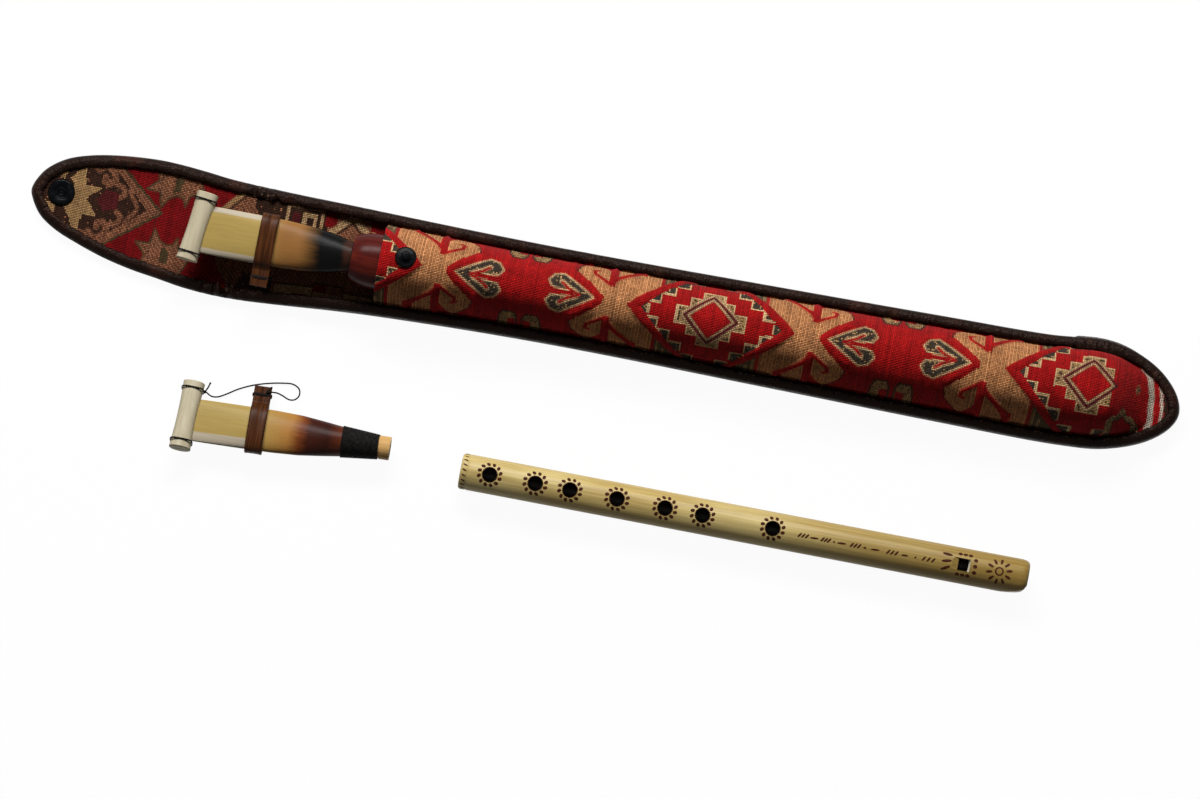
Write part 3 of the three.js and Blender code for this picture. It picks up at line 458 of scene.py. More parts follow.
def arch_rise(x):
    """How far the front cloth stands up over the duduk: over the bulb, the tube, and past its foot."""
    over_bulb = DUDUK_Z + BULB / 2 + BULB_CLEAR - FRONT_BOTTOM
    over_tube = DUDUK_Z + TUBE / 2 + TUBE_CLEAR - FRONT_BOTTOM
    bulb_end = LIP_X + 2 * BULB
    foot = LIP_X + DUDUK_LENGTH + 0.6 * TUBE
    body = over_bulb + (over_tube - over_bulb) * smooth_share(bulb_end, bulb_end + 2 * BULB, x)
    seam = 1 - smooth_share(SEAM_FROM, SEAM_TO, x)
    return body * (1 - smooth_share(foot, foot + 1.2 * TUBE, x)) + PLAY * seam


def run_along(ys, zs):
    return np.concatenate([[0], np.cumsum(np.hypot(np.diff(ys), np.diff(zs)))])


def softened(row, reach=9):
    """The row of numbers with its corners rounded over a reach of its points."""
    kernel = np.hanning(2 * reach + 3)[1:-1]
    padded = np.pad(row, reach, mode="reflect", reflect_type="odd")
    return np.convolve(padded, kernel / kernel.sum(), mode="valid")


def arch_line(x):
    """The front cloth's outer face across the case at x: points (y, z), and how far from the ridge."""
    room = BINDING_WIDTH + 2 * PLAY + 1.2 * FRONT_THICKNESS
    far = max(cloth_side(x, 1, room), middle_at(x) + 2 * FRONT_THICKNESS)
    near = min(cloth_side(x, -1, room), middle_at(x) - 2 * FRONT_THICKNESS)
    past_foot = smooth_share(0.935 * CASE_LENGTH, 0.975 * CASE_LENGTH, x)
    ridge = DUDUK_Y + ((far + near) / 2 - DUDUK_Y) * past_foot
    fullness = 0.39 - 0.03 * smooth_share(MOUTH_X, MOUTH_X + 4 * BULB, x)
    fullness -= 0.05 * smooth_share(0.86 * CASE_LENGTH, 0.92 * CASE_LENGTH, x)
    share = -np.cos(np.linspace(0, math.pi, 161))
    y = ridge + share * np.where(share < 0, ridge - near, far - ridge)
    z = FRONT_BOTTOM + arch_rise(x) * np.maximum(np.cos(math.pi / 2 * share), 0) ** fullness
    dy, dz = np.gradient(y), np.gradient(z)
    length = np.hypot(dy, dz)
    outer_y = y - dz / length * FRONT_THICKNESS
    outer_z = np.maximum(z + dy / length * FRONT_THICKNESS, FRONT_BOTTOM + FRONT_THICKNESS)
    near_end, far_end = cloth_side(x, -1, CLOTH_INSET), cloth_side(x, 1, CLOTH_INSET)
    ys = np.concatenate([[near_end], np.clip(outer_y, near_end + 0.2, far_end - 0.2), [far_end]])
    zs = np.concatenate([[outer_z.min()], outer_z, [outer_z.min()]])
    along = run_along(ys, zs)
    even = np.linspace(0, along[-1], 400)
    ys, zs = softened(np.interp(even, along, ys)), softened(np.interp(even, along, zs))
    along = run_along(ys, zs)
    return ys, zs, along - np.interp(ridge, ys, along)


def woven(name, x_from, x_to, half_across, line_at, chart, thickness):
    """A cloth of whole stitches between two stations. line_at(x) gives its face across the case."""
    rows, columns = round((x_to - x_from) / STITCH), 2 * round(half_across / STITCH)
    xs = np.linspace(x_from, x_to, rows + 1)
    ts = (np.arange(columns + 1) - columns / 2) * STITCH
    dyes, heights = chart((xs[:-1, None] + xs[1:, None]) / 2, (ts[None, :-1] + ts[None, 1:]) / 2)
    points = np.zeros((rows + 1, columns + 1, 3))
    kept = np.zeros((rows, columns), bool)
    for i, x in enumerate(xs):
        ys, zs, along = line_at(x)
        t = np.clip(ts, along[0], along[-1])
        points[i] = np.stack([np.full(columns + 1, x), np.interp(t, along, ys), np.interp(t, along, zs)], 1)
        inside = (ts > along[0]) & (ts < along[-1])
        kept[max(i - 1, 0):i + 1] |= inside[:-1] | inside[1:]
    normals = np.cross(np.gradient(points, axis=0), np.gradient(points, axis=1))
    normals /= np.maximum(np.linalg.norm(normals, axis=2, keepdims=True), 1e-9)
    rise = np.pad(heights, 1, mode="edge")
    rise = (rise[:-1, :-1] + rise[1:, :-1] + rise[:-1, 1:] + rise[1:, 1:]) / 4
    points += normals * rise[:, :, None]
    bm = bmesh.new()
    uv = bm.loops.layers.uv.verify()
    dye = bm.loops.layers.float_color.new("dye")
    bmesh.ops.create_grid(bm, x_segments=rows, y_segments=columns, size=1.0)

    def grid_place(at):
        return (at.x + 1) / 2 * rows, (at.y + 1) / 2 * columns

    spare = []
    for face in bm.faces:
        i, j = (int(v) for v in grid_place(face.calc_center_median()))
        for loop in face.loops:
            loop[uv].uv = grid_place(loop.vert.co)
            loop[dye] = (*dyes[i, j], 1.0)
        if not kept[i, j]:
            spare.append(face)
    for vertex in bm.verts:
        i, j = (round(v) for v in grid_place(vertex.co))
        vertex.co = points[i, j]
    bmesh.ops.delete(bm, geom=spare, context="FACES")
    bmesh.ops.remove_doubles(bm, verts=bm.verts, dist=0.02)
    cloth = piece(name, bm, TIP_TO_SET, kilim, crease=75)
    if cloth.data.polygons[len(cloth.data.polygons) // 2].normal.z < 0:
        cloth.data.flip_normals()
    wall = cloth.modifiers.new("thickness", "SOLIDIFY")
    wall.thickness = thickness * MM
    wall.offset = -1.0
    return cloth


def dyed(*levels):
    """A colour as the eye reads it, 0 to 255, as the shader takes it."""
    return tuple(((c / 255 + 0.055) / 1.055) ** 2.4 if c > 10 else c / 255 / 12.92 for c in levels)


kilim = Finish(
    "kilim_wool", "kilim_cloth", roughness=0.9, sheen_weight=0.02, sheen_roughness=0.5,
    specular_ior_level=0.06,
)
worn = kilim.mix(kilim.noise(160.0, detail=4.0).step(0.25, 0.75), (0.78, 0.76, 0.76), (1.14, 1.12, 1.1))
fibre = kilim.mix(kilim.noise(1500.0, detail=2.0).step(0.3, 0.7), (0.8, 0.8, 0.8), (1.16, 1.16, 1.16))
stitches = kilim.coordinates.outputs["UV"]
along_stitch, across_stitch = (
    (kilim.axis(name, stitches) * math.pi).math("SINE").math("ABSOLUTE") for name in "XY"
)
# Painted shade and light: the colour is darkened in the gaps between stitches and lightened in the middle of
# each yarn, as the weave's relief would be shaded and lit.
in_yarn = (along_stitch * across_stitch).step(0.05, 0.75)
between = kilim.mix(in_yarn, (0.55, 0.52, 0.5), (1.26, 1.25, 1.24))
yarns = kilim.times(kilim.attribute("dye", "Color"), worn)
kilim.colour(kilim.times(kilim.times(yarns, fibre), between))
kilim.relief(along_stitch * 0.6 + across_stitch * 0.8 + kilim.noise(1400.0, detail=2.0) * 0.6, 0.00032)

RED, BACK_RED, MADDER = dyed(152, 17, 17), dyed(122, 14, 17), dyed(84, 28, 30)
GOLD, DARK_GOLD, STRAW = dyed(184, 128, 84), dyed(152, 102, 64), dyed(160, 126, 84)
CREAM, BLEACHED, SLATE = dyed(190, 158, 116), dyed(186, 176, 160), dyed(58, 50, 42)
OLIVE, PLUM, BROWN = dyed(76, 62, 40), dyed(52, 30, 24), dyed(54, 34, 24)
ROSE, DUSKY_ROSE = dyed(146, 96, 70), dyed(108, 68, 48)


class Chart:
    """The weaver's chart: a dye and a height for each stitch, laid down one form over another."""

    def __init__(self, a, b, ground):
        self.a, self.b = np.broadcast_arrays(a, b)
        self.dyes = np.zeros((*self.a.shape, 3)) + ground
        self.heights = np.zeros(self.a.shape)

    def lay(self, inside, dye):
        self.dyes[inside], self.heights[inside] = dye, 0.0

    def form(self, dye, *corners):
        """A closed form given by its corners."""
        inside = np.zeros(self.a.shape, bool)
        for (a0, b0), (a1, b1) in zip(corners, [*corners[1:], corners[0]]):
            if b0 != b1:
                crosses = a0 + (self.b - b0) * (a1 - a0) / (b1 - b0)
                inside ^= (self.b >= min(b0, b1)) & (self.b < max(b0, b1)) & (self.a < crosses)
        self.lay(inside, dye)

    def line(self, dye, width, *corners, height=0.0):
        """A line of a width along its corners, soft at its edges; a raised one is a wrapped cord."""
        least = np.full(self.a.shape, 1e9)
        for (a0, b0), (a1, b1) in zip(corners, corners[1:]):
            da, db = a1 - a0, b1 - b0
            share = np.clip(((self.a - a0) * da + (self.b - b0) * db) / (da * da + db * db), 0, 1)
            least = np.minimum(least, np.hypot(self.a - a0 - share * da, self.b - b0 - share * db))
        share = np.clip((width / 2 - least) / STITCH + 0.5, 0, 1)[:, :, None]
        self.dyes = self.dyes * (1 - share) + np.array(dye) * share
        self.heights[least < width / 2] = height

    def outlined(self, rim, dye, width, *corners):
        """A form with a thin rim of another dye."""
        self.form(dye, *corners)
        self.line(rim, width, *corners, corners[0])

    def stitches_in(self, dye):
        return np.all(self.dyes == dye, axis=2)

    def mottle(self, dye, other, share, draw):
        """Scattered stitches of another dye among those of this one."""
        self.dyes[self.stitches_in(dye) & (draw.random(self.a.shape) < share)] = other

    def twill(self, dye, other):
        """Slanting ribs of another dye, one stitch in three."""
        rows, columns = np.indices(self.a.shape)
        self.dyes[self.stitches_in(dye) & ((rows + columns) % 3 == 0)] = other

    def ribbed(self, dye, other):
        """Every other row in another dye, as where two yarns take turns."""
        rows, _ = np.indices(self.a.shape)
        self.dyes[self.stitches_in(dye) & (rows % 2 == 0)] = other

    def over(self, other, here):
        self.dyes[here], self.heights[here] = other.dyes[here], other.heights[here]

    def spun(self, draw):
        """Uneven yarn: each row and each stitch a little darker or lighter than the dye."""
        rows = 1 + 0.1 * draw.standard_normal((self.a.shape[0], 1))
        columns = 1 + 0.03 * draw.standard_normal((1, self.a.shape[1]))
        each = 1 + 0.07 * draw.standard_normal(self.a.shape)
        shade = np.clip(rows * columns * each, 0.55, 1.45)
        return np.clip(self.dyes * shade[:, :, None], 0, 1), self.heights


CORD = 0.85
REPEAT = 87.0
MIRRORS = [60.6, 147.1, 233.75, 320.3, 407.8, 496.8, 584.0]


def lattice(x, t, middle):
    """The repeat of the front cloth: a stepped lozenge, and halfway to the next one hooked hearts.

    u runs from a lozenge's middle to the line halfway between two, and v out from the middle line.
    """
    u = np.interp(x, MIRRORS, [REPEAT, 0, REPEAT, 0, REPEAT, 0, REPEAT])
    chart = Chart(u, np.abs(t - middle), RED)
    chart.form(
        GOLD, (39.2, 0), (28, 10), (21, 18), (15, 28), (11, 36), (11, 50), (32.5, 50), (32.5, 24), (39, 18),
        (45.7, 12), (46.5, 6), (49.5, 2), (51.5, 0),
    )
    chart.form(OLIVE, (23.7, 14), (23.7, 50), (11, 50), (11, 36), (15, 28), (21, 18))
    chart.line(STRAW, 0.9, (22.4, 18), (22.4, 50))
    chart.line(STRAW, 0.9, (19.5, 25), (19.5, 50))
    chart.line(RED, 1.6, (24.4, 13.5), (24.4, 50))
    chart.form(GOLD, (45.5, 13), (45.5, 50), (36, 50), (36.5, 27), (40.5, 20))
    chart.line(RED, 2.7, (47.2, 7.5), (47.2, 22), (47.2, 50), height=CORD)
    chart.line(RED, 1.4, (49, 24), (49, 50))
    chart.line(RED, 2.6, (47, 10), (45, 13), (38, 20), (33.4, 25.5), (33.2, 50), height=CORD)
    chart.form(
        GOLD, (45, 0), (49, 0), (51, 2), (56, 6.6), (61, 10.8), (64, 14), (62.8, 20), (58.9, 27), (55.7, 36),
        (54.7, 35), (52.7, 29), (49.4, 21), (49.2, 8), (45, 7),
    )
    chart.line(BROWN, 0.7, (64.3, 14), (63.2, 20), (59.4, 27), (56.2, 36))
    chart.line(RED, 1.9, (48, 8), (52.6, 11.4), (55.9, 13.8), (56.6, 17), (54.8, 18), height=0.4)
    chart.line(RED, 2.6, (51.5, 0), (57, 4.2), (64, 10.2), height=0.6)
    heart = [(54.8, 0), (69.9, 10), (74, 8.7), (76.4, 5), (74.6, 2.1), (70.5, 1.5), (64.5, 1.4), (61.8, 0)]
    chart.form(SLATE, (54.8, -1), *heart, (61.8, -1))
    chart.line(CREAM, 0.85, *heart)
    chart.line(CREAM, 2.3, (63, 1.2), (67, 2.9), (70.2, 5.2))
    chart.line(RED, 1.5, (61.6, 0), (67, 2.3), (70, 4.7), height=0.2)
    chart.form(RED, (62.4, -1), (65, 0.8), (70.5, 0.9), (74.8, 1.5), (77, 2.6), (77, -1))
    chart.outlined(BROWN, STRAW, 1.1, (79, 16), (84.3, 16), (85.6, 20), (85.6, 50), (76, 50), (77.6, 20))
    chart.form(RED, (81.4, 23.5), (85.2, 22.5), (85.2, 50), (81, 50))
    chart.line(
        RED, 3.9, (36.2, 0), (34.5, 2), (26, 9.2), (19, 17), (13.75, 25.5), (10.2, 35), (8.6, 50),
        height=CORD,
    )
    for near, low, high in (
        (28.6, -2.4, 2.6), (23.4, 3.4, 8.4), (17.2, 8.6, 14.6), (11, 15, 23), (4.8, 26, 38),
    ):
        inside = (chart.a > near) & (chart.b > low) & (chart.b < high) & (chart.heights < 0.4)
        inside &= chart.a < np.interp(chart.b, [0, 8, 16, 23, 34, 50], [32.6, 24.4, 17.6, 13.4, 9.0, 7.4])
        rim = inside & ((chart.a < near + 1.1) | (chart.b < low + 1.1))
        chart.lay(inside, SLATE)
        chart.lay(rim, CREAM)
    for wide, high in ((16.3, 4.4), (10.6, 9.7), (5.4, 15.2)):
        chart.form(CREAM, (wide, -1), (wide, high), (-1, high), (-1, -1))
    for wide, high in ((15.4, 3.5), (9.7, 8.8), (4.5, 14.3)):
        chart.form(STRAW, (wide, -1), (wide, high), (-1, high), (-1, -1))
    chart.form(RED, (11.5, -0.001), (0, 12.2), (-0.001, -0.001))
    for width, dye in ((3.9, PLUM), (3.3, CREAM), (1.7, MADDER)):
        chart.line(dye, width, (-0.4, 12.4), (11.8, 0.4), (12.4, -0.4))
    return chart


def front_chart(x, t):
    """The lattice, which drifts to the far side along the case, and the cloth's own end past it."""
    draw = np.random.default_rng(4)
    middle = np.interp(x, [166, 250, 320, 375, 441, 497], [0.5, 0.5, 1.0, 2.0, 3.5, 5.3])
    chart = lattice(x, t, middle)
    tail = Chart(x, t, RED)
    tail.line(STRAW, 1.2, (519.5, 3.4), (519.5, 6.8))
    tail.line(SLATE, 1.2, (518.6, 5.1), (520.6, 5.1))
    tail.form(
        STRAW, (506.6, -40), (506.6, -13), (508.6, -9), (511.4, -8), (513.6, -3.6), (516, -7.4), (520, -8.6),
        (522.6, -12), (524, -16.4), (523.4, -40),
    )
    inner_edge = [(510, -40), (510, -11.6), (512.4, -10.4), (514, -8), (516, -10.4), (519.4, -11.8)]
    tail.form(RED, *inner_edge, (519.8, -40))
    tail.line(BROWN, 0.9, *inner_edge)
    tail.line(BLEACHED, 2.6, (521, 20), (524.4, 13), (526.6, 4), (527.6, -8), (526, -17))
    tail.line(BLEACHED, 1.3, (528.5, 14), (531, 6), (532.4, -2), (532.6, -11))
    tail.form(PLUM, (529.6, 14), (532, 6), (533.4, -2), (533.6, -12), (545, -12), (545, 14))
    past = (tail.a > 507) & (np.abs(chart.a) + np.abs(tail.b - 5.3) * 0.85 > 12.6)
    chart.over(tail, past)
    chart.mottle(SLATE, STRAW, 0.12, draw)
    chart.mottle(STRAW, OLIVE, 0.3, draw)
    chart.ribbed(GOLD, DARK_GOLD)
    chart.mottle(DARK_GOLD, GOLD, 0.35, draw)
    return chart.spun(draw)


def back_chart(x, y):
    """The back cloth is another piece of weaving: a star in a pointed field, then eight-point stars."""
    draw = np.random.default_rng(9)
    chart = Chart(x, y, BACK_RED)
    chart.form(OLIVE, (62.4, 3.4), (0, 56), (0, -46))
    chart.form(ROSE, (60.6, 3.4), (0, 54), (0, -44.4))
    chart.form(BROWN, (54.6, 3.6), (40.2, 16.6), (32.2, 24.4), (0, 49), (0, -39), (32.2, -14.7), (40.2, -8.6))
    scrolls = (
        (2.6, (29.4, 14.4), (32.4, 17), (36.2, 15.2), (37.6, 11.6), (35.4, 8.8), (32.8, 9.6), (32.8, 12)),
        (2.2, (38.6, 9.6), (42, 8.4), (43, 5.2), (40.8, 3.4)), (1.7, (49.6, 1), (47, 4.6), (45, 7.6)),
        (3.4, (24.6, 16), (27.4, 16.4)), (1.8, (37, 18), (40.4, 14.6)),
    )
    for side in (1, -1):
        for width, *corners in scrolls:
            chart.line(ROSE, width, *[(a, 3.4 + side * b) for a, b in corners])
    chart.form(
        STRAW, (23.4, 19.6), (24, 13.5), (24.8, 10.2), (32.6, 9.8), (28.2, 6.6), (26.2, 3.6), (31.8, -3.4),
        (25.2, -4.2), (24.6, -7.5), (24.2, -11.6), (21, -11.6), (19.6, -6), (15.4, -1.6), (19, 1), (19.4, 9),
        (16.8, 12),
    )
    chart.form(STRAW, (11, 15.4), (15.2, 14.6), (14.2, 11), (9.4, 12))
    chart.form(STRAW, (6, 0), (12.4, -2), (12.2, -6.4), (8, -3.4))
    chart.form(MADDER, (30.6, 4), (34.4, 9.6), (40.2, 8.6), (40.2, 1.2), (34.4, -0.6))
    chart.mottle(BROWN, PLUM, 0.25, draw)
    for far, (cx, cy) in ((1, (66, 16.5)), (-1, (65.4, -14.6))):
        star = [
            (-10, 9), (-8.4, 2), (-13.4, -3), (-7, -3.4), (-5.4, -10.4), (-2.4, -5.4), (1, -3.8), (4, -4.4),
            (5.6, -8), (6.6, -3.4), (12.6, 1), (9, 9),
        ]
        chart.outlined(OLIVE, ROSE, 0.9, *[(cx + a, cy + far * b) for a, b in star])
        chart.form(OLIVE, *[(cx + a, cy + far * b) for a, b in ((-1, -2.6), (2.4, -1.6), (2.8, 5), (-1, 5))])
    chart.form(
        ROSE, (87.6, 9), (97.6, 20.4), (98, 26), (118, 26), (118, -30), (97.6, -30), (97.4, -24), (90, -14),
    )
    chart.line(STRAW, 2.2, (87.6, 9), (98, 21))
    chart.line(BROWN, 1.0, (90, 8.6), (100, 20.4))
    chart.form(BROWN, (100, 30), (104, 14), (108, 8), (118, 8), (118, 30))
    chart.form(BROWN, (98, -30), (104, -16), (118, -16), (118, -30))
    chart.mottle(BROWN, ROSE, 0.04, draw)
    chart.twill(ROSE, DUSKY_ROSE)
    chart.mottle(ROSE, DUSKY_ROSE, 0.12, draw)
    end = Chart(x, y, ROSE)
    end.form(BROWN, (117, 26), (138, 26), (138, 8), (117, 8))
    for near, far, low, high, dye in (
        (118.6, 136.2, 8, 19.6, CREAM), (120, 134.6, 8, 17.6, BROWN), (121, 125.4, 9.6, 15.4, MADDER),
        (126.2, 132.6, 8, 16, CREAM), (128.4, 131.4, 8, 14, BROWN), (137, 142.4, 11.6, 19, BACK_RED),
        (119, 136.4, -24, -17.6, CREAM), (127.6, 133.4, -24, -21.8, BACK_RED),
        (136.4, 143, -19.4, -15.6, BACK_RED), (136.4, 150.2, -24, -19.4, CREAM),
        (151.2, 167.4, -24, -17.4, CREAM), (153.4, 165.4, -22.6, -19.4, STRAW),
    ):
        end.form(dye, (near, low), (far, low), (far, high), (near, high))
    end.line(BROWN, 1.0, (118, -18.4), (136, -17.2), (137, -15), (150, -15), (150.8, -17), (168, -16.8))
    end.line(CREAM, 2.8, (140.6, 9.4), (149.6, 18.4), (158.6, 9.4))
    end.line(BROWN, 1.2, (143.4, 9.2), (149.6, 15.2), (155.8, 9.2))
    end.form(BACK_RED, (157.6, 20.4), (158.4, 13.4), (166, 11), (166, 20.4))
    end.mottle(CREAM, STRAW, 0.3, draw)
    end.twill(ROSE, DUSKY_ROSE)
    chart.over(end, end.a > 117.5)
    inner = lattice(x, y, 0.0)
    inner.mottle(SLATE, CREAM, 0.3, draw)
    chart.over(inner, end.a > 168)
    chart.heights *= 0.4
    chart.dyes *= 0.82
    return chart.spun(draw)


def back_line(x):
    near, far = cloth_side(x, -1, CLOTH_INSET), cloth_side(x, 1, CLOTH_INSET)
    ys = np.linspace(near, far, 40)
    dip = 0.12 * np.sin(ys / 9 + x / 21) + 0.1 * np.sin(x / 13 - ys / 17)
    return ys, np.full(40, back_top(x) - 0.22) + dip * (x > 4), ys


front_cloth = woven(
    "front_cloth", MOUTH_X, CASE_LENGTH - CLOTH_END_INSET, FRONT_HALF_ACROSS, arch_line, front_chart,
    FRONT_WALL,
)
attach(front_cloth, "case")
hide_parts("case_front_panel")
back_cloth = woven(
    "back_cloth", RISER_MIDDLE_X, CASE_LENGTH - CLOTH_END_INSET, BACK_HALF_ACROSS, back_line, back_chart,
    BACK_WALL,
)
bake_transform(back_cloth)
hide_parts("case_back_panel")
flap_cloth = woven(
    "flap_cloth", CLOTH_END_INSET, RISER_MIDDLE_X, BACK_HALF_ACROSS, back_line, back_chart, BACK_WALL,
)
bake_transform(flap_cloth)
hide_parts("flap_tip_panel", "flap_riser_panel")


# --- Leather binding --------------------------------------------------------------------------
# A strip of dark brown calf folded round the raw edges of the cloth and sewn through. It puckers
# where it goes round a bend, and its two ends lap over each other on the far side of the tail.

LAP_X, LAP_LENGTH = 0.915 * CASE_LENGTH, 0.025 * CASE_LENGTH
binding_leather = Finish(
    "binding_leather", "leather", roughness=0.3, specular_ior_level=0.07,
    specular_tint=(1.0, 0.74, 0.62, 1.0),
)
hide_grain = binding_leather.noise(1300.0, detail=4.0, rough=0.6)
hide_folds = binding_leather.noise(190.0, detail=4.0, rough=0.55)
hide_patches = binding_leather.noise(70.0, detail=4.0)
scuffs = binding_leather.noise(520.0, detail=3.0)
strip_place = binding_leather.attribute("strip", "Vector")
wear_and_highlight = binding_leather.axis("Z", strip_place)
across = binding_leather.stretched(x=0.42, y=2.2, z=0.0, source=strip_place)
creases = binding_leather.noise(1.0, detail=4.0, rough=0.6, at=across)
hide = binding_leather.mix(hide_patches.step(0.5, 0.75), dyed(20, 9, 6), dyed(44, 21, 14))
# The hide is painted lighter where the strip says so: real wear mixed with painted highlight on the creases,
# and a painted highlight along the near side's inner edge.
binding_leather.colour(
    binding_leather.mix((wear_and_highlight + (scuffs - 0.5) * 2.2).step(0.75, 1.15), hide, dyed(116, 92, 76))
)
binding_leather.rough(hide_grain * 0.2 + 0.15)
binding_leather.relief(hide_grain * 0.25 + hide_folds * 0.8 + creases * 0.9, 0.0011)


def slot_top(x):
    lead = 0.03 * CASE_LENGTH
    share = smooth_share(MOUTH_X - 2.6 * lead, MOUTH_X - 1.3 * lead, x)
    return back_top(x) + (PLAY + FRONT_THICKNESS) * share + PLAY


def ripple(run, size, seed):
    """A small uneven wave along the binding, from three sines that don't share a beat."""
    waves = ((1.0, 5.3, 1.0), (1.9, 2.1, 0.7), (3.1, 9.7, 0.5))
    return size * sum(a * math.sin(run * f * 1.7 / 3 + p * seed) for f, p, a in waves)


CRUMPLES = [
    (1, 96.0, 120.0, 1.0), (-1, 84.0, 116.0, 1.0), (1, 247.0, 264.0, 0.6), (1, 480.0, 506.0, 0.3),
    (1, 150.0, 166.0, 0.35), (-1, 163.0, 176.0, 0.3),
]


def crumpled(point):
    """How hard the leather is creased here: where the flap folds over, and at a few old bends."""
    most = 0.0
    for side, low, high, depth in CRUMPLES:
        if point.y * side > 0 and low < point.x < high:
            most = max(most, depth * math.sin(math.pi * (point.x - low) / (high - low)) ** 0.5)
    return most


def binding_ring(point, out, run):
    """The folded strip's section at one place of the outline: out over the top, and back inside."""
    x = point.x
    low, high = back_bottom(x) - PLAY, slot_top(x)
    lap_end = 1 - smooth_share(LAP_X + LAP_LENGTH - 6, LAP_X + LAP_LENGTH + 14, x)
    lap = smooth_share(LAP_X - 7.4, LAP_X - 6.6, x) * lap_end if point.y > 0 else 0
    swell = 1.5 * lap
    creased = crumpled(point)
    top = high + LEATHER + swell + ripple(run, 0.05, 1.3) + ripple(run * 1.9, 0.85 * creased, 0.7)
    inner = -BINDING_WIDTH - swell * 1.1 + ripple(run, 0.13, 2.7) + ripple(run * 1.5, 0.8 * creased, 1.9)
    body = top + 0.25
    section = [
        (inner, high + 0.12), (inner + 0.05, top - 0.55), (inner + 0.35, top - 0.15),
        (inner * 0.8, top + 0.12), (inner * 0.62, top + 0.25), (inner * 0.42, top + 0.12),
        (inner * 0.24, top - 0.35), (inner * 0.1, top - 1.1), (0.3 * swell, body * 0.58),
        (0.3 * swell, body * 0.4), (inner * 0.08, 1.0), (inner * 0.22, 0.3), (inner * 0.42, 0.02),
        (inner * 0.75, 0.0), (inner + 0.2, 0.15), (inner, low - 0.12), (-LEATHER, low - 0.05),
        (-LEATHER, high + 0.05),
    ]
    return [point + out * u + Vector((0, 0, z)) for u, z in section]


def painted_highlight_and_wear(point, share):
    """How much lighter the hide is painted: partly real wear and partly a painted highlight on the creases,
    and a painted highlight along the near side's inner edge.
    """
    wear_and_highlight_share = 0.55 * crumpled(point)
    # Painted highlight: a pale line along the near side's inner edge, over one stretch of the near side only.
    if point.y < 0 and 270 < point.x < 520:
        wear_and_highlight_share = max(wear_and_highlight_share, 1.05 - abs(share - 0.2) * 13)
    return wear_and_highlight_share


def corner_key(corner):
    return tuple(round(v, 4) for v in corner)


def binding_strip(name, keeps):
    """The strip along one unbroken stretch of the outline."""
    walk, run = [], 0.0
    for before, at, after in in_threes(outline, True):
        ahead = (after - before).normalized()
        walk.append((at, Vector((-ahead.y, ahead.x, 0)), run))
        run += (after - at).length
    chosen = [w for w in walk if keeps(w[0].x)]
    breaks = [i for i in range(len(chosen)) if (chosen[i][0] - chosen[i - 1][0]).length > 5]
    if breaks:
        chosen = chosen[breaks[0]:] + chosen[: breaks[0]]
    rings = [binding_ring(*w) for w in chosen]
    bm = lofted(rings, capped=False)
    strip_layer = bm.verts.layers.float_vector.new("strip")
    places = {}
    for (point, _, run), ring in zip(chosen, rings):
        for k, corner in enumerate(ring):
            share = k / (len(ring) - 1)
            # The third number is how much lighter the hide is painted here, for wear and painted highlight.
            wear_and_highlight_share = painted_highlight_and_wear(point, share) if k < 12 else 0.0
            places[corner_key(corner)] = Vector((run, share, wear_and_highlight_share))
    for vertex in bm.verts:
        vertex[strip_layer] = places.get(corner_key(vertex.co), Vector((0, 0, 0)))
    bmesh.ops.holes_fill(bm, edges=[e for e in bm.edges if e.is_boundary], sides=0)
    return piece(name, bm, TIP_TO_SET, binding_leather, crease=50)


case_binding = binding_strip("pouch_binding", lambda x: x > RISER_MIDDLE_X - 0.001)
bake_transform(case_binding)
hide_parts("case_binding")
flap_binding = binding_strip("flap_binding", lambda x: x < RISER_MIDDLE_X + 0.001)
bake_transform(flap_binding)
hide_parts("flap_tip_binding", "flap_riser_binding_far", "flap_riser_binding_near")


# --- Snap fastener ----------------------------------------------------------------------------
# Pressed brass in black enamel: a socket riveted by its cap through the tip of the flap, and a
# stud with an eyelet through the front cloth just behind the mouth of the pouch.

snap_enamel = Finish("snap_enamel", roughness=0.2, specular_ior_level=0.035)
enamel_wear = snap_enamel.noise(700.0, detail=3.0)
snap_enamel.colour(snap_enamel.mix(enamel_wear.step(0.45, 0.8), dyed(4, 5, 6), dyed(20, 22, 25)))
snap_enamel.relief(enamel_wear, 0.00005)


def turned(profile, steps=64):
    """A closed profile of (height, radius) spun about +Z."""
    bm = bmesh.new()
    corners = [bm.verts.new((radius, 0, height)) for height, radius in profile]
    loop = [bm.edges.new((a, b)) for a, b in zip(corners, [*corners[1:], corners[0]])]
    bmesh.ops.spin(
        bm, geom=[*corners, *loop], cent=(0, 0, 0), axis=(0, 0, 1), angle=2 * math.pi, steps=steps,
        use_merge=True,
    )
    bmesh.ops.remove_doubles(bm, verts=bm.verts, dist=1e-4)
    bmesh.ops.dissolve_degenerate(bm, edges=bm.edges, dist=1e-5)
    return bm


def rounded(profile, radius, steps=3):
    """The closed profile with each corner that is off the axis cut back to a small round."""
    points = [Vector(corner) for corner in profile]
    result = []
    for before, at, after in in_threes(points, True):
        if at.y < 1e-6:
            result.append(tuple(at))
            continue
        back, ahead = before - at, after - at
        reach = min(radius, back.length * 0.45, ahead.length * 0.45)
        start, end = at + back.normalized() * reach, at + ahead.normalized() * reach
        for t in (i / steps for i in range(steps + 1)):
            result.append(tuple(start * (1 - t) ** 2 + at * 2 * t * (1 - t) + end * t * t))
    return result


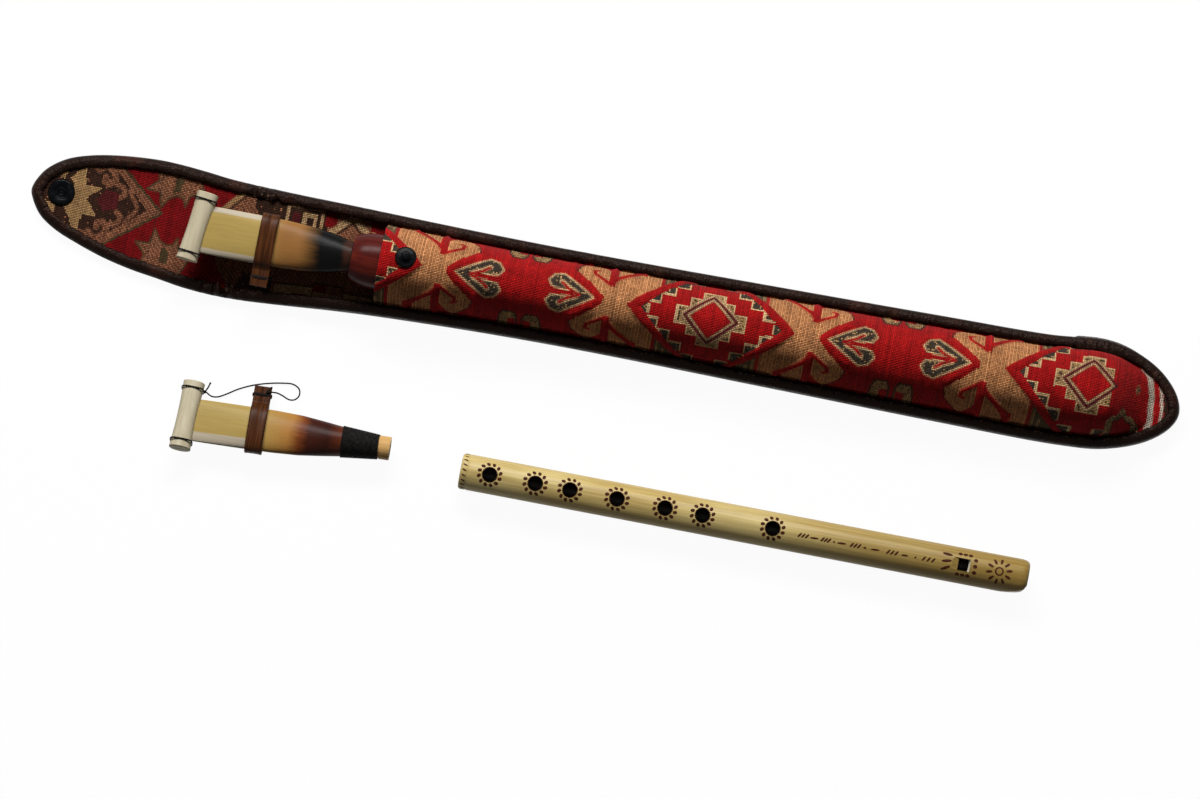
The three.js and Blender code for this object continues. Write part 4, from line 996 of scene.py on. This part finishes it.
SNAP_X, SNAP_Y = 14.0, 4.6
STUD_X, STUD_Y = 178.0, 0.8
SOCKET_Z = back_top(SNAP_X) + PLAY
snap_place = TIP_TO_SET @ Matrix.Translation((SNAP_X, SNAP_Y, 0))
socket_profile = [
    (SOCKET_Z - 0.25, 1.9), (SOCKET_Z - 0.25, 6.1), (SOCKET_Z + 0.25, 6.3), (SOCKET_Z + 0.85, 5.4),
    (SOCKET_Z + 0.95, 4.4), (SOCKET_Z + 0.75, 3.4), (SOCKET_Z + 0.1, 2.8), (SOCKET_Z + 0.1, 1.9),
]
socket = piece(
    "snap_socket_ring", turned(rounded(socket_profile, 0.35)), snap_place, snap_enamel, body="flap_tip",
)
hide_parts("snap_socket")
cap_profile = [
    (0.3, 0.0), (0.3, 4.9), (0.75, 6.1), (1.2, 6.2), (1.2, 1.86), (SOCKET_Z + 0.35, 1.86),
    (SOCKET_Z + 0.35, 1.35), (SOCKET_Z - 0.2, 1.2), (SOCKET_Z - 0.2, 0.0),
]
snap_cap = piece(
    "snap_cap_head", turned(rounded(cap_profile, 0.25)), snap_place, snap_enamel, body="flap_tip",
)
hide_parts("snap_cap")


def arch_frame(x, y):
    """A frame on the front cloth's outer face over (x, y), its Z square to the cloth across the case."""
    ys, zs, _ = arch_line(x)
    z = float(np.interp(y, ys, zs))
    slope = float(np.interp(y + 1, ys, zs) - np.interp(y - 1, ys, zs)) / 2
    return Matrix.Translation((x, y, z)) @ Matrix.Rotation(math.atan(slope), 4, "X")


stud_place = TIP_TO_SET @ arch_frame(STUD_X, STUD_Y)
stud_profile = [
    (-2.4, 0.0), (-2.4, 1.4), (0.25, 1.4), (0.25, 4.96), (0.8, 4.96), (1.35, 4.2), (1.45, 1.5), (2.0, 1.5),
    (2.6, 2.25), (3.3, 2.25), (3.9, 1.35), (3.9, 0.0),
]
stud = piece("snap_stud_post", turned(rounded(stud_profile, 0.3)), stud_place, snap_enamel, body="case")
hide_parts("snap_stud")
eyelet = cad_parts["snap_stud_eyelet"]
eyelet.data.materials.clear()
eyelet.data.materials.append(snap_enamel.material)


# --- Duduk ------------------------------------------------------------------------------------
# Apricot wood turned on a lathe: a bulb with the socket for the reed, a straight tube with eight
# finger holes, a thumb hole and a tuning hole below, oiled and rubbed to a deep red gloss.

apricot_wood = Finish("apricot_wood", roughness=0.28, specular_ior_level=0.06)
figure = apricot_wood.noise(260.0, detail=5.0, rough=0.6, at=apricot_wood.stretched(x=0.06))
pores = apricot_wood.noise(2400.0, detail=2.0, at=apricot_wood.stretched(x=0.05))
grown = apricot_wood.ramp(figure, (0.25, dyed(44, 9, 7)), (0.5, dyed(72, 19, 14)), (0.75, dyed(98, 34, 22)))
apricot_wood.colour(apricot_wood.mix(pores.step(0.62, 0.75), grown, dyed(30, 8, 8)))
apricot_wood.relief(pores, 0.00003)

REED_LENGTH, REED_INSERTION, THREAD = 97.0, 22.0, 0.5
NECK_START, NECK_END, NECK_RADIUS = 0.765 * REED_LENGTH, 0.95 * REED_LENGTH, 5.45
CLEAR = 0.3
DUDUK_TIP, SPARE_TIP = 22.4, 20.4
REED_WALL, RIM_ROUND = 1.5, 0.12

reed_shares = [
    (0, 0.98, 0.095), (0.12, 1, 0.17), (0.27, 1, 0.265), (0.44, 0.99, 0.365), (0.57, 0.93, 0.5),
    (0.68, 0.8, 0.61),
]


def reed_section(s, tip_width):
    """Half width and half height of the reed at a distance from its tip."""
    rings = [(share * REED_LENGTH, w * tip_width / 2, h * tip_width / 2) for share, w, h in reed_shares]
    rings += [
        (NECK_START, 6.95, 6.95), (NECK_END, 5.25, 5.25), (NECK_END + CLEAR, NECK_RADIUS, NECK_RADIUS),
        (REED_LENGTH, NECK_RADIUS, NECK_RADIUS),
    ]
    places, widths, heights = zip(*rings)
    return float(np.interp(s, places, widths)), float(np.interp(s, places, heights))


def socket_radius(depth):
    half, _ = reed_section(REED_LENGTH - REED_INSERTION + depth, DUDUK_TIP)
    return max(half + THREAD, NECK_RADIUS) + 2 * CLEAR


R = BULB / 2
duduk_profile = [
    (0, socket_radius(0) + 0.3), (0, 10.45), (0.64, 10.75), (4.5, 0.945 * R), (10.2, R), (15.4, 0.985 * R),
    (21.8, 0.87 * R), (27.5, 0.76 * R), (32, 9.1), (43.2, 10), (306, 10), (339.7, 10.5), (340, 10.2),
    (340, 5), (24, 5), (24, socket_radius(24)), (17.6, socket_radius(17.6)),
]


def faired(profile, first, last, steps):
    """The profile with its points from first to last joined by one smooth curve."""
    run = [Vector((a, b, 0)) for a, b in profile[first:last + 1]]
    return [*profile[:first], *[(p.x, p.y) for p in centripetal(run, False, steps)], *profile[last + 1:]]


def turn(degrees, axis):
    return Matrix.Rotation(math.radians(degrees), 4, axis)


def lathed(profile, steps):
    """A closed profile of (place, radius) spun about +X."""
    return moved(turned(profile, steps), turn(90, "Y"))


def drill(place, x, radius, low, high):
    """A round hole square to the axis of what lies at this place, in metres in the set."""
    bm = bmesh.new()
    bmesh.ops.create_cone(
        bm, cap_ends=True, segments=32, radius1=radius, radius2=radius, depth=high - low,
        matrix=TO_METRES @ place @ Matrix.Translation((x, 0, (low + high) / 2)),
    )
    return bm


def bored(obj, cutters):
    """Cuts closed meshes out of the piece; they are in metres in the set, as the piece is."""
    whole = bmesh.new()
    for bm in cutters:
        bmesh.ops.recalc_face_normals(bm, faces=bm.faces)
        part = mesh_of("cutter", bm)
        whole.from_mesh(part)
        bpy.data.meshes.remove(part)
    tool_mesh = mesh_of("cutters", whole)
    tool = in_scene("cutters", tool_mesh)
    cut = obj.modifiers.new("holes", "BOOLEAN")
    cut.operation, cut.solver, cut.use_self, cut.object = "DIFFERENCE", "EXACT", False, tool
    bpy.context.view_layer.update()
    seen = obj.evaluated_get(bpy.context.evaluated_depsgraph_get())
    result = bpy.data.meshes.new_from_object(seen)
    obj.modifiers.remove(cut)
    obj.data = result
    bpy.data.objects.remove(tool)
    bpy.data.meshes.remove(tool_mesh)


FINGER_HOLE, TUNING_HOLE, PAST_WOOD = 4.0, 2.8, 20
finger_holes = [0.2, 0.28, 0.36, 0.44, 0.535, 0.615, 0.695, 0.775]
duduk_place = TIP_TO_SET @ Matrix.Translation((LIP_X, DUDUK_Y, DUDUK_Z))
duduk_form = lathed(faired(duduk_profile, first=2, last=9, steps=5), 96)
duduk = piece("duduk_wood", duduk_form, duduk_place, apricot_wood, crease=35)
holes = [drill(duduk_place, share * DUDUK_LENGTH, FINGER_HOLE, 0, PAST_WOOD) for share in finger_holes]
for share, radius in ((0.16, FINGER_HOLE), (0.88, TUNING_HOLE)):
    holes.append(drill(duduk_place, share * DUDUK_LENGTH, radius, -PAST_WOOD, 0))
bored(duduk, holes)
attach(duduk, "duduk")
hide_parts("duduk_body")


# --- Reeds ------------------------------------------------------------------------------------
# Each is one length of cane, scraped and pressed flat at the blown end and bound with black
# thread at the neck. A bent strip of cane squeezes it, and a cap of two bars keeps it shut.

reed_cane = Finish("reed_cane", roughness=0.34, specular_ior_level=0.06)
reed_along, reed_edge, charred = (reed_cane.attribute(name) for name in ("along", "edge", "charred"))
cane_fibre = reed_cane.noise(900.0, detail=4.0, rough=0.6, at=reed_cane.stretched(x=0.04))
cane_patch = reed_cane.noise(110.0, detail=3.0, at=reed_cane.stretched(x=0.4))
burnt_to = reed_along + (cane_patch - 0.5) * 0.07 + (cane_fibre - 0.5) * 0.06
bare_face = reed_cane.ramp(
    burnt_to, (0.0, dyed(155, 132, 74)), (0.34, dyed(156, 133, 75)), (0.42, dyed(154, 121, 64)),
    (0.52, dyed(152, 106, 52)), (0.57, dyed(104, 52, 23)), (0.61, dyed(54, 22, 13)), (0.7, dyed(44, 17, 11)),
    (0.78, dyed(84, 38, 20)), (0.93, dyed(50, 21, 12)), (0.95, dyed(188, 148, 92)),
)
for low, high, char in (
    (0.32, 0.46, dyed(130, 90, 48)), (0.5, 0.62, dyed(7, 6, 6)), (0.71, 0.74, dyed(50, 28, 20)),
):
    bare_face = reed_cane.mix(charred * burnt_to.step(low, high), bare_face, char)
skin_end = (reed_along + (cane_patch - 0.5) * 0.1).step(0.3, 0.42)
side_skin = reed_cane.mix(skin_end, dyed(166, 155, 136), bare_face)
grain = reed_cane.mix(cane_fibre.step(0.3, 0.75), (0.93, 0.92, 0.9), (1.04, 1.04, 1.03))
outer_face = reed_cane.mix(reed_edge.step(0.78, 0.84), bare_face, side_skin)
# Painted shade: the bore's inner wall is coloured dark brown, as the inside of the tube lies in shade.
colour_with_bore_shade = reed_cane.mix(reed_edge.step(-0.5, -0.4), dyed(46, 26, 16), outer_face)
reed_cane.colour(reed_cane.times(colour_with_bore_shade, grain))
reed_cane.relief(cane_fibre, 0.00006)

pale_cane = Finish("pale_cane", roughness=0.5, specular_ior_level=0.15)
pale_fibre = pale_cane.noise(700.0, detail=3.0, rough=0.5, at=pale_cane.stretched(x=0.6, y=0.05))
pale_cane.colour(pale_cane.ramp(
    pale_fibre, (0.2, dyed(160, 149, 121)), (0.5, dyed(176, 166, 140)), (0.8, dyed(187, 178, 154)),
))
pale_cane.relief(pale_fibre, 0.00003)

band_cane = Finish("band_cane", roughness=0.34, specular_ior_level=0.06)
band_fibre = band_cane.noise(1100.0, detail=4.0, at=band_cane.stretched(y=0.05, z=0.1))
band_cane.colour(band_cane.ramp(
    band_fibre, (0.25, dyed(30, 14, 5)), (0.5, dyed(60, 31, 13)), (0.8, dyed(88, 50, 23)),
))
band_cane.relief(band_fibre, 0.00009)


def squared(angle, a, b, power):
    """A point of an oval of half widths a and b; a power below 1 fills out its corners."""
    c, d = math.cos(angle), math.sin(angle)
    return math.copysign(a * abs(c) ** power, c), math.copysign(b * abs(d) ** power, d)


def reed_ring(s, tip_width, inset, sides=72):
    half, height = reed_section(s, tip_width)
    power = 1 - 0.28 * (1 - smooth_share(0, NECK_START, s))
    a, b = half - inset, max(height - min(inset, 0.62 * height), 0.175)
    return [Vector((s, *squared(2 * math.pi * j / sides, a, b, power))) for j in range(sides)]


def reed_mesh(tip_width):
    """Out along the outside from the blown end, over the rim, and back along the bore."""
    outside = [0, 0.3, 1.5, 4, *np.arange(7, 74, 2.2), NECK_START, 80, 86, 92.15, 92.45, 96.6, REED_LENGTH]
    inside = [REED_LENGTH, *np.arange(92, 7, -6), 4, 1.5, 0]
    rings = [reed_ring(s, tip_width, RIM_ROUND if s in (0, REED_LENGTH) else 0.0) for s in outside]
    rings += [reed_ring(s, tip_width, REED_WALL) for s in inside]
    bm = lofted([*rings, rings[0]], capped=False)
    bmesh.ops.remove_doubles(bm, verts=bm.verts, dist=1e-4)
    return bm


def tie_turns(width, height, turns, spread, steps=28):
    """A thread wound some turns round a rounded box across X, from -spread/2 to spread/2 along Z."""
    path = []
    for i in range(turns * steps + 1):
        u, v = squared(2 * math.pi * i / steps, (width + THREAD) / 2, (height + THREAD) / 2, 0.6)
        path.append(Vector((u, v, -spread / 2 + spread * i / (turns * steps))))
    return tube(path, THREAD / 2, 6)


CAP_HALF_LENGTH, CAP_WIDTH, CAP_HEIGHT, CAP_FACE = 16.25, 9.0, 4.6, 0.15
CAP_X, CAP_TIE_SHARE = 2.025, 0.78


def cap_bar(tip_width, up, shift, yaw):
    """Half a split cane, waisted, with a pocket for the blown end."""
    pocket = reed_section(0.06 * REED_LENGTH, tip_width)[1] + 0.35
    pocket_half = tip_width / 2 + 0.7 + CAP_WIDTH * math.sin(math.radians(8))
    rings = []
    for i in range(49):
        t = -math.cos(math.pi * i / 48)
        end = max(0.0, (abs(t) - 0.985) / 0.015)
        w = CAP_WIDTH / 2 * (1 + 0.12 * t * t) * math.sqrt(max(1 - 0.6 * end * end, 0.05))
        rise = CAP_HEIGHT * (1 - 0.25 * end * end) - CAP_FACE
        y = t * CAP_HALF_LENGTH + shift
        open_share = 1 - smooth_share(pocket_half - 0.1, pocket_half + 0.5, abs(t * CAP_HALF_LENGTH))
        low = CAP_FACE + (pocket - CAP_FACE) * open_share
        turns = [math.pi * j / 16 for j in range(17)]
        ring = [Vector((w * math.cos(a), y, up * (CAP_FACE + rise * math.sin(a) ** 0.8))) for a in turns]
        for j in range(1, 8):
            x = w * (-1 + 2 * j / 8)
            top = CAP_FACE + rise * math.sqrt(max(1 - (x / w) ** 2, 0)) ** 0.8
            ring.append(Vector((x, y, up * min(low, top - 0.5 if top > 0.7 else CAP_FACE))))
        rings.append(ring)
    return moved(lofted(rings), turn(yaw, "Z"))


BAND_START, BAND_WIDTH, BAND_THICK, BAND_FIT = 0.318 * REED_LENGTH, 8, 1.3, 0.35
TAIL_LENGTH, TAIL_GAP = 8.6, 0.7
band_section = [
    (0, 0.36), (0.2, 0.5), (1.1, 0.5), (1.6, 0.4), (3.7, 0.42), (4, 0.3), (4.3, 0.42), (6.4, 0.4), (6.9, 0.5),
    (7.8, 0.5), (8, 0.36), (8, -0.42), (7.88, -0.5), (0.12, -0.5), (0, -0.42),
]


def tuning_band(tip_width, tail_side):
    """One strip bent round the reed; its tails lie side by side past one edge."""
    half, height = reed_section(BAND_START + BAND_WIDTH + 3, tip_width)
    root, top = half + BAND_FIT + BAND_THICK / 2, height + BAND_FIT + BAND_THICK / 2
    tip = half + BAND_FIT + BAND_THICK + TAIL_LENGTH
    middle = []
    for i in range(61):
        angle = math.radians(11) + (2 * math.pi - math.radians(22)) * i / 60
        middle.append(Vector((0, *squared(angle, root, top, 0.72))))
    tail_z = (TAIL_GAP + BAND_THICK) / 2
    first = [Vector((0, tip - (tip - root - 1.4) * k / 8, tail_z)) for k in range(9)]
    last = [Vector((0, p.y, -p.z)) for p in reversed(first)]
    strip = centripetal([*first, *middle[2:-2], *last], False, 2)
    rings = []
    for before, at, after in in_threes(strip, False):
        ahead = (after - before).normalized()
        out = Vector((0, ahead.z, -ahead.y)) * BAND_THICK
        rings.append([at + Vector((w, 0, 0)) + out * h for w, h in band_section])
    to_side = Matrix.Diagonal((1, tail_side, 1, 1))
    return moved(lofted(rings), to_side @ Matrix.Translation((BAND_START, 0, 0)))


def wound_neck(tip_width):
    """The neck's winding: one thread, turn beside turn, on a slight cone."""
    start, end, turns, steps = 74.6, 91.7, 31, 22
    path = []
    for i in range(turns * steps + 1):
        s = start + (end - start) * i / (turns * steps)
        radius = reed_section(s, tip_width)[0] + 0.27
        angle = 2 * math.pi * i / steps
        path.append(Vector((s, radius * math.cos(angle), radius * math.sin(angle))))
    return tube(path, 0.3, 6, Vector((1, 0, 0)))


def thread_knot(name, body, *points):
    """A knot at the first point, and its cut end, which runs on through the others."""
    cut_end = tube(centripetal(points, False, 4), TETHER_DIAMETER / 2, 8)
    knot, frayed_end = 0.8, 0.5
    for point, radius in ((points[0], knot), (points[-1], frayed_end)):
        bmesh.ops.create_icosphere(cut_end, subdivisions=2, radius=radius, matrix=Matrix.Translation(point))
    piece(name, cut_end, TIP_TO_SET, waxed_thread, body=body)


def make_reed(prefix, place, tip_width, tail_side, yaw, shift, skin, char, bodies):
    """One whole reed at its place; bodies are those of the cane, the band and the cap.

    tail_side is the side of the band's tails, and yaw and shift are how far the cap is turned and
    off the middle. skin says how much wider the pale side strips are on the far and the near side,
    as a share of the half width, and char how black the burnt part is.
    """
    cane_body, band_body, cap_body = bodies
    bm = reed_mesh(tip_width)
    along, edge, burnt = (bm.verts.layers.float.new(name) for name in ("along", "edge", "charred"))
    for vertex in bm.verts:
        half, height = reed_section(vertex.co.x, tip_width)
        on_bore = math.hypot(vertex.co.y / half, vertex.co.z / height) < 0.88
        outer = abs(vertex.co.y) / max(half, 0.1) + skin[0 if vertex.co.y > 0 else 1]
        vertex[along], vertex[burnt] = vertex.co.x / REED_LENGTH, char
        vertex[edge] = -1.0 if on_bore else outer
    lying, yawed = turn(-90, "X"), turn(yaw, "Z")
    seat = reed_section(BAND_START + BAND_WIDTH + 3, tip_width)[0]
    tie_y = tail_side * (seat + BAND_FIT + BAND_THICK + 0.45 * TAIL_LENGTH + 0.7)
    tail_place = place @ Matrix.Translation((BAND_START + BAND_WIDTH / 2, tie_y, 0)) @ lying
    cap_place = place @ Matrix.Translation((CAP_X, 0, 0))
    tail_tie = tie_turns(width=8.3, height=3.2, turns=3, spread=1.1)
    parts = [
        ("cane_body", "cane", bm, place, reed_cane, cane_body, 50),
        ("neck_thread", "winding", wound_neck(tip_width), place, waxed_thread, cane_body, 40),
        ("band_strip", "band", tuning_band(tip_width, tail_side), place, band_cane, band_body, 50),
        ("band_thread", "band_tie", tail_tie, tail_place, waxed_thread, band_body, 40),
    ]
    for side, up in (("upper", 1), ("lower", -1)):
        bar = cap_bar(tip_width, up, shift, yaw)
        parts.append((f"cap_bar_{side}", f"cap_{side}", bar, cap_place, pale_cane, cap_body, 50))
    for side, sign in (("far", 1), ("near", -1)):
        end = Matrix.Translation((0, shift + sign * CAP_TIE_SHARE * CAP_HALF_LENGTH, 0))
        at, tie = cap_place @ yawed @ end @ lying, tie_turns(width=9.75, height=9.3, turns=2, spread=0.6)
        parts.append((f"cap_thread_{side}", f"cap_tie_{side}", tie, at, waxed_thread, cap_body, 40))
    for name, node, mesh, at, finish, body, crease in parts:
        part = piece(f"{prefix}_{name}", mesh, at, finish, body=body, crease=crease)
        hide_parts(f"{prefix}_{node}")


make_reed(
    "reed", TIP_TO_SET @ Matrix.Translation((LIP_X - REED_LENGTH + REED_INSERTION, DUDUK_Y, DUDUK_Z)),
    tip_width=DUDUK_TIP, tail_side=-1, yaw=-7, shift=0.6, skin=(0.04, 0.04), char=1.0,
    bodies=("reed", "reed_band", "reed_cap"),
)
spare_turn = turn(2.4, "Z") @ turn(-11, "X")
make_reed(
    "spare_reed", Matrix.Translation((-180.806, -50.725, 8.359)) @ spare_turn,
    tip_width=SPARE_TIP, tail_side=1, yaw=-3, shift=1.6, skin=(-0.2, 0.24), char=0.0,
    bodies=("spare_reed", "spare_band", "spare_cap"),
)
thread_knot("spare_reed_cap_knot", "spare_cap", (97.3, -74.4, 5.2), (98.3, -72.4, 5.5), (99, -70, 5.2))
thread_knot("spare_reed_band_knot", "spare_band", (125.9, -69.2, 7.2), (126.4, -68.2, 7.8), (127.4, -67, 8))


# --- Fipple pipe ------------------------------------------------------------------------------
# A plain cane tube with seven finger holes. Near its mouth end a wooden block leaves a narrow
# windway up to a square window with a cut ramp. The ornament is burnt in with hot points.

PIPE_LENGTH, PIPE_RADIUS, PIPE_HOLE = 265.3, 8.3, 3.4
BLOCK_END = 0.8863 * PIPE_LENGTH + 2.8
WINDOW_START, WINDOW_WIDTH = BLOCK_END - 5.6, 5.8
BLOCK_RADIUS, WINDWAY_FLOOR, OUTSIDE = 5.1, 4.0, 12
pipe_place = TIP_TO_SET @ Matrix.Translation((220.3, -88.4, PIPE_RADIUS))
pipe_holes = [share * PIPE_LENGTH for share in (0.0517, 0.1319, 0.193, 0.2758, 0.3604, 0.4265, 0.5498)]

pipe_cane = Finish("pipe_cane", roughness=0.42, specular_ior_level=0.2)
pipe_fibre = pipe_cane.noise(800.0, detail=4.0, rough=0.6, at=pipe_cane.stretched(x=0.03))
pipe_patch = pipe_cane.noise(60.0, detail=3.0, at=pipe_cane.stretched(x=0.3))
streaks = pipe_cane.mix(pipe_fibre.step(0.3, 0.75), (0.76, 0.72, 0.63), (1.1, 1.1, 1.08))
along_pipe, beside, above = (
    (pipe_cane.axis(name) - at * MM) * (1 / MM) for name, at in zip("XYZ", pipe_place.translation)
)
from_axis = (beside.math("POWER", 2.0) + above.math("POWER", 2.0)).math("SQRT")
pipe_tone = pipe_cane.mix(pipe_patch.step(0.3, 0.7), dyed(198, 180, 124), dyed(174, 151, 93))
pipe_tone = pipe_cane.mix(along_pipe.step(90.0, 270.0), pipe_tone, dyed(142, 116, 58))
pipe_tone = pipe_cane.times(pipe_tone, streaks)
# The finger holes' walls are burnt dark, and the bore behind them is painted dark as shade. At the mouth end
# the bore is painted dark as shade too.
burnt_holes_and_bore_shade = from_axis.step(8.1, 7.85) * along_pipe.step(1.5, 3.0) * along_pipe.step(220.0, 214.0)
fresh_cut = from_axis.step(8.15, 7.95) * along_pipe.step(233.0, 234.0) * along_pipe.step(250.0, 245.0)
painted_bore_shade = from_axis.step(5.9, 5.5) * along_pipe.step(262.0, 258.0)
for share, tone in (
    (burnt_holes_and_bore_shade, dyed(40, 18, 8)), (fresh_cut * above.step(4.4, 5.2), dyed(206, 200, 178)),
    (painted_bore_shade, dyed(34, 24, 14)),
):
    pipe_tone = pipe_cane.mix(share, pipe_tone, tone)
pipe_cane.colour(pipe_tone)
pipe_cane.relief(pipe_fibre, 0.00004)
burnt_mark = Finish("burnt_mark", "pipe_cane", roughness=0.7, specular_ior_level=0.1)
burnt_mark.colour(burnt_mark.ramp(burnt_mark.noise(1500.0), (0.3, dyed(44, 18, 8)), (0.7, dyed(70, 32, 14))))

pipe_profile = [
    (0, 5.4), (0, 7.4), (0.25, 7.9), (0.9, 8.25), (1.4, 8.3), (3.1, 8.3), (3.6, 8.1), (4.1, 8.3),
    (261.6, 8.3), (263.2, 8.1), (264.4, 7.6), (265.1, 6.8), (265.3, 6), (265.3, 5.4),
]


def wedge(points, half_width, axis="Y"):
    """A flat polygon drawn out to both sides along an axis of the pipe, in metres in the set."""
    bm = bmesh.new()
    first = [bm.verts.new((x, -half_width, v) if axis == "Y" else (x, v, -half_width)) for x, v in points]
    drawn = bmesh.ops.extrude_face_region(bm, geom=[bm.faces.new(first)])
    drawn_out = [v for v in drawn["geom"] if isinstance(v, bmesh.types.BMVert)]
    step = (0, 2 * half_width, 0) if axis == "Y" else (0, 0, 2 * half_width)
    bmesh.ops.translate(bm, vec=step, verts=drawn_out)
    return moved(bm, TO_METRES @ pipe_place)


def beak_cutter(x_shift, y_shift):
    """What the lip's near side loses: a slow curve in to a rounded corner."""
    curve = [
        (-15, -8.6), (-12, -8.25), (-8, -7.75), (-4, -7.0), (-1.8, -6.2), (-0.6, -5.0), (0.4, -3.0), (1, -1),
    ]
    points = [(PIPE_LENGTH + x + x_shift, y + y_shift) for x, y in curve]
    outer = [(PIPE_LENGTH + 6, -1), (PIPE_LENGTH + 6, -14), (PIPE_LENGTH - 15, -14)]
    return wedge([*points, *outer], 12, "Z")


pipe = piece("pipe_cane_tube", lathed(pipe_profile, 96), pipe_place, pipe_cane, crease=35)
cutters = [drill(pipe_place, x, PIPE_HOLE, 0, OUTSIDE) for x in pipe_holes]
window = [
    (WINDOW_START, WINDWAY_FLOOR), (BLOCK_END - 1.2, WINDWAY_FLOOR), (BLOCK_END + 1.2, OUTSIDE),
    (WINDOW_START, OUTSIDE),
]
ramp = [
    (WINDOW_START + 0.3, 6.9), (WINDOW_START + 0.3, OUTSIDE), (WINDOW_START - 2.8, OUTSIDE),
    (WINDOW_START - 2.8, 8.2),
]
bored(pipe, [*cutters, wedge(window, WINDOW_WIDTH / 2)])
bored(pipe, [wedge(ramp, WINDOW_WIDTH / 2)])
bored(pipe, [beak_cutter(0, 0)])
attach(pipe, "pipe")
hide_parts("pipe_tube")

block_profile = [
    (BLOCK_END, 0), (BLOCK_END, BLOCK_RADIUS), (PIPE_LENGTH - CLEAR, BLOCK_RADIUS), (PIPE_LENGTH - CLEAR, 0),
]
block = piece("pipe_windway_block", lathed(block_profile, 64), pipe_place, pale_cane, crease=35)
windway = [
    (BLOCK_END - 5, WINDWAY_FLOOR), (PIPE_LENGTH + 5, WINDWAY_FLOOR), (PIPE_LENGTH + 5, 8),
    (BLOCK_END - 5, 8),
]
bored(block, [wedge(windway, WINDOW_WIDTH / 2 - CLEAR)])
bored(block, [beak_cutter(-CLEAR, CLEAR)])
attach(block, "pipe")
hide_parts("pipe_block")

marks = bmesh.new()
MARK_EDGE, MARK_MIDDLE = 0.015, 0.035


def burn(x, y, length, width, turn=0.0):
    """One oval mark pressed on the cane's surface, at x and at the distance y round the tube."""
    rim = bmesh.ops.create_circle(marks, cap_ends=True, segments=8, radius=1.0)["verts"]
    face = rim[0].link_faces[0]
    bmesh.ops.inset_individual(marks, faces=[face], thickness=0.5)
    c, s = math.cos(turn), math.sin(turn)
    for v in {*rim, *face.verts}:
        a, b = v.co.x * length / 2, v.co.y * width / 2
        angle = (y + a * s + b * c) / PIPE_RADIUS
        radius = PIPE_RADIUS + (MARK_MIDDLE if v.co.length < 0.9 else MARK_EDGE)
        v.co = Vector((x + a * c - b * s, radius * math.sin(angle), radius * math.cos(angle)))


def burn_ring(x, count, reach, round_reach, length, width, turn, first=0.0):
    """Marks in a ring about x on the tube's top, each turned by the same angle from its spoke."""
    for k in range(count):
        angle = 2 * math.pi * (k + first) / count
        seen_at = round_reach * math.sin(angle) / PIPE_RADIUS
        burn(x + reach * math.cos(angle), PIPE_RADIUS * math.asin(seen_at), length, width, angle + turn)


for x in pipe_holes:
    burn_ring(x, 12, 5.0, 4.85, 2.2, 1.7, 0.5, first=0.5)
    burn_ring(x, 24, 3.55, 3.5, 1.0, 0.4, math.pi / 2)
for ticks in (
    (158.6, 160.3, 162.0), (169.3, 170.8, 172.3), (182.9, 184.6, 186.3), (199.9, 201.8, 203.7),
    (216.5, 218.7, 220.9),
):
    for x in ticks:
        burn(x, -0.7, 2.9, 1.0, turn=0.95)
for x, length in (
    (165.4, 4.2), (174.6, 1.0), (178.2, 4.4), (189, 1.6), (193.8, 4.4), (207.6, 3.4), (212.6, 1.0),
):
    burn(x, -0.9, length, 1.0, turn=0.06)
middle = WINDOW_START + 2.8
for k in (-1, 0, 1):
    burn(WINDOW_START - 5.4, 0.3 + k * 3.3, 5.0, 1.5, turn=0.2 - k * 0.3)
    burn(middle + k * 2.4, 5.0, 2.2, 1.7)
    burn(middle + k * 2.4, -5.0, 2.2, 1.8)
    burn(BLOCK_END + 2.3, k * 2.9, 2.1, 1.9)
sun_x = middle + 16.4
for angle in (2 * math.pi * k / 12 for k in range(12)):
    burn(sun_x + 1.7 * math.cos(angle), 1.7 * math.sin(angle), 1.2, 0.85, turn=angle + math.pi / 2)
burn_ring(sun_x, 10, 4.7, 4.7, 3.2, 1.35, 0.0, first=0.3)
for k in range(-5, 6):
    burn(1.9, k * 2.5, 2.4, 0.8, turn=-0.35)
piece("pipe_burnt_ornament", marks, pipe_place, burnt_mark, body="pipe", crease=80)
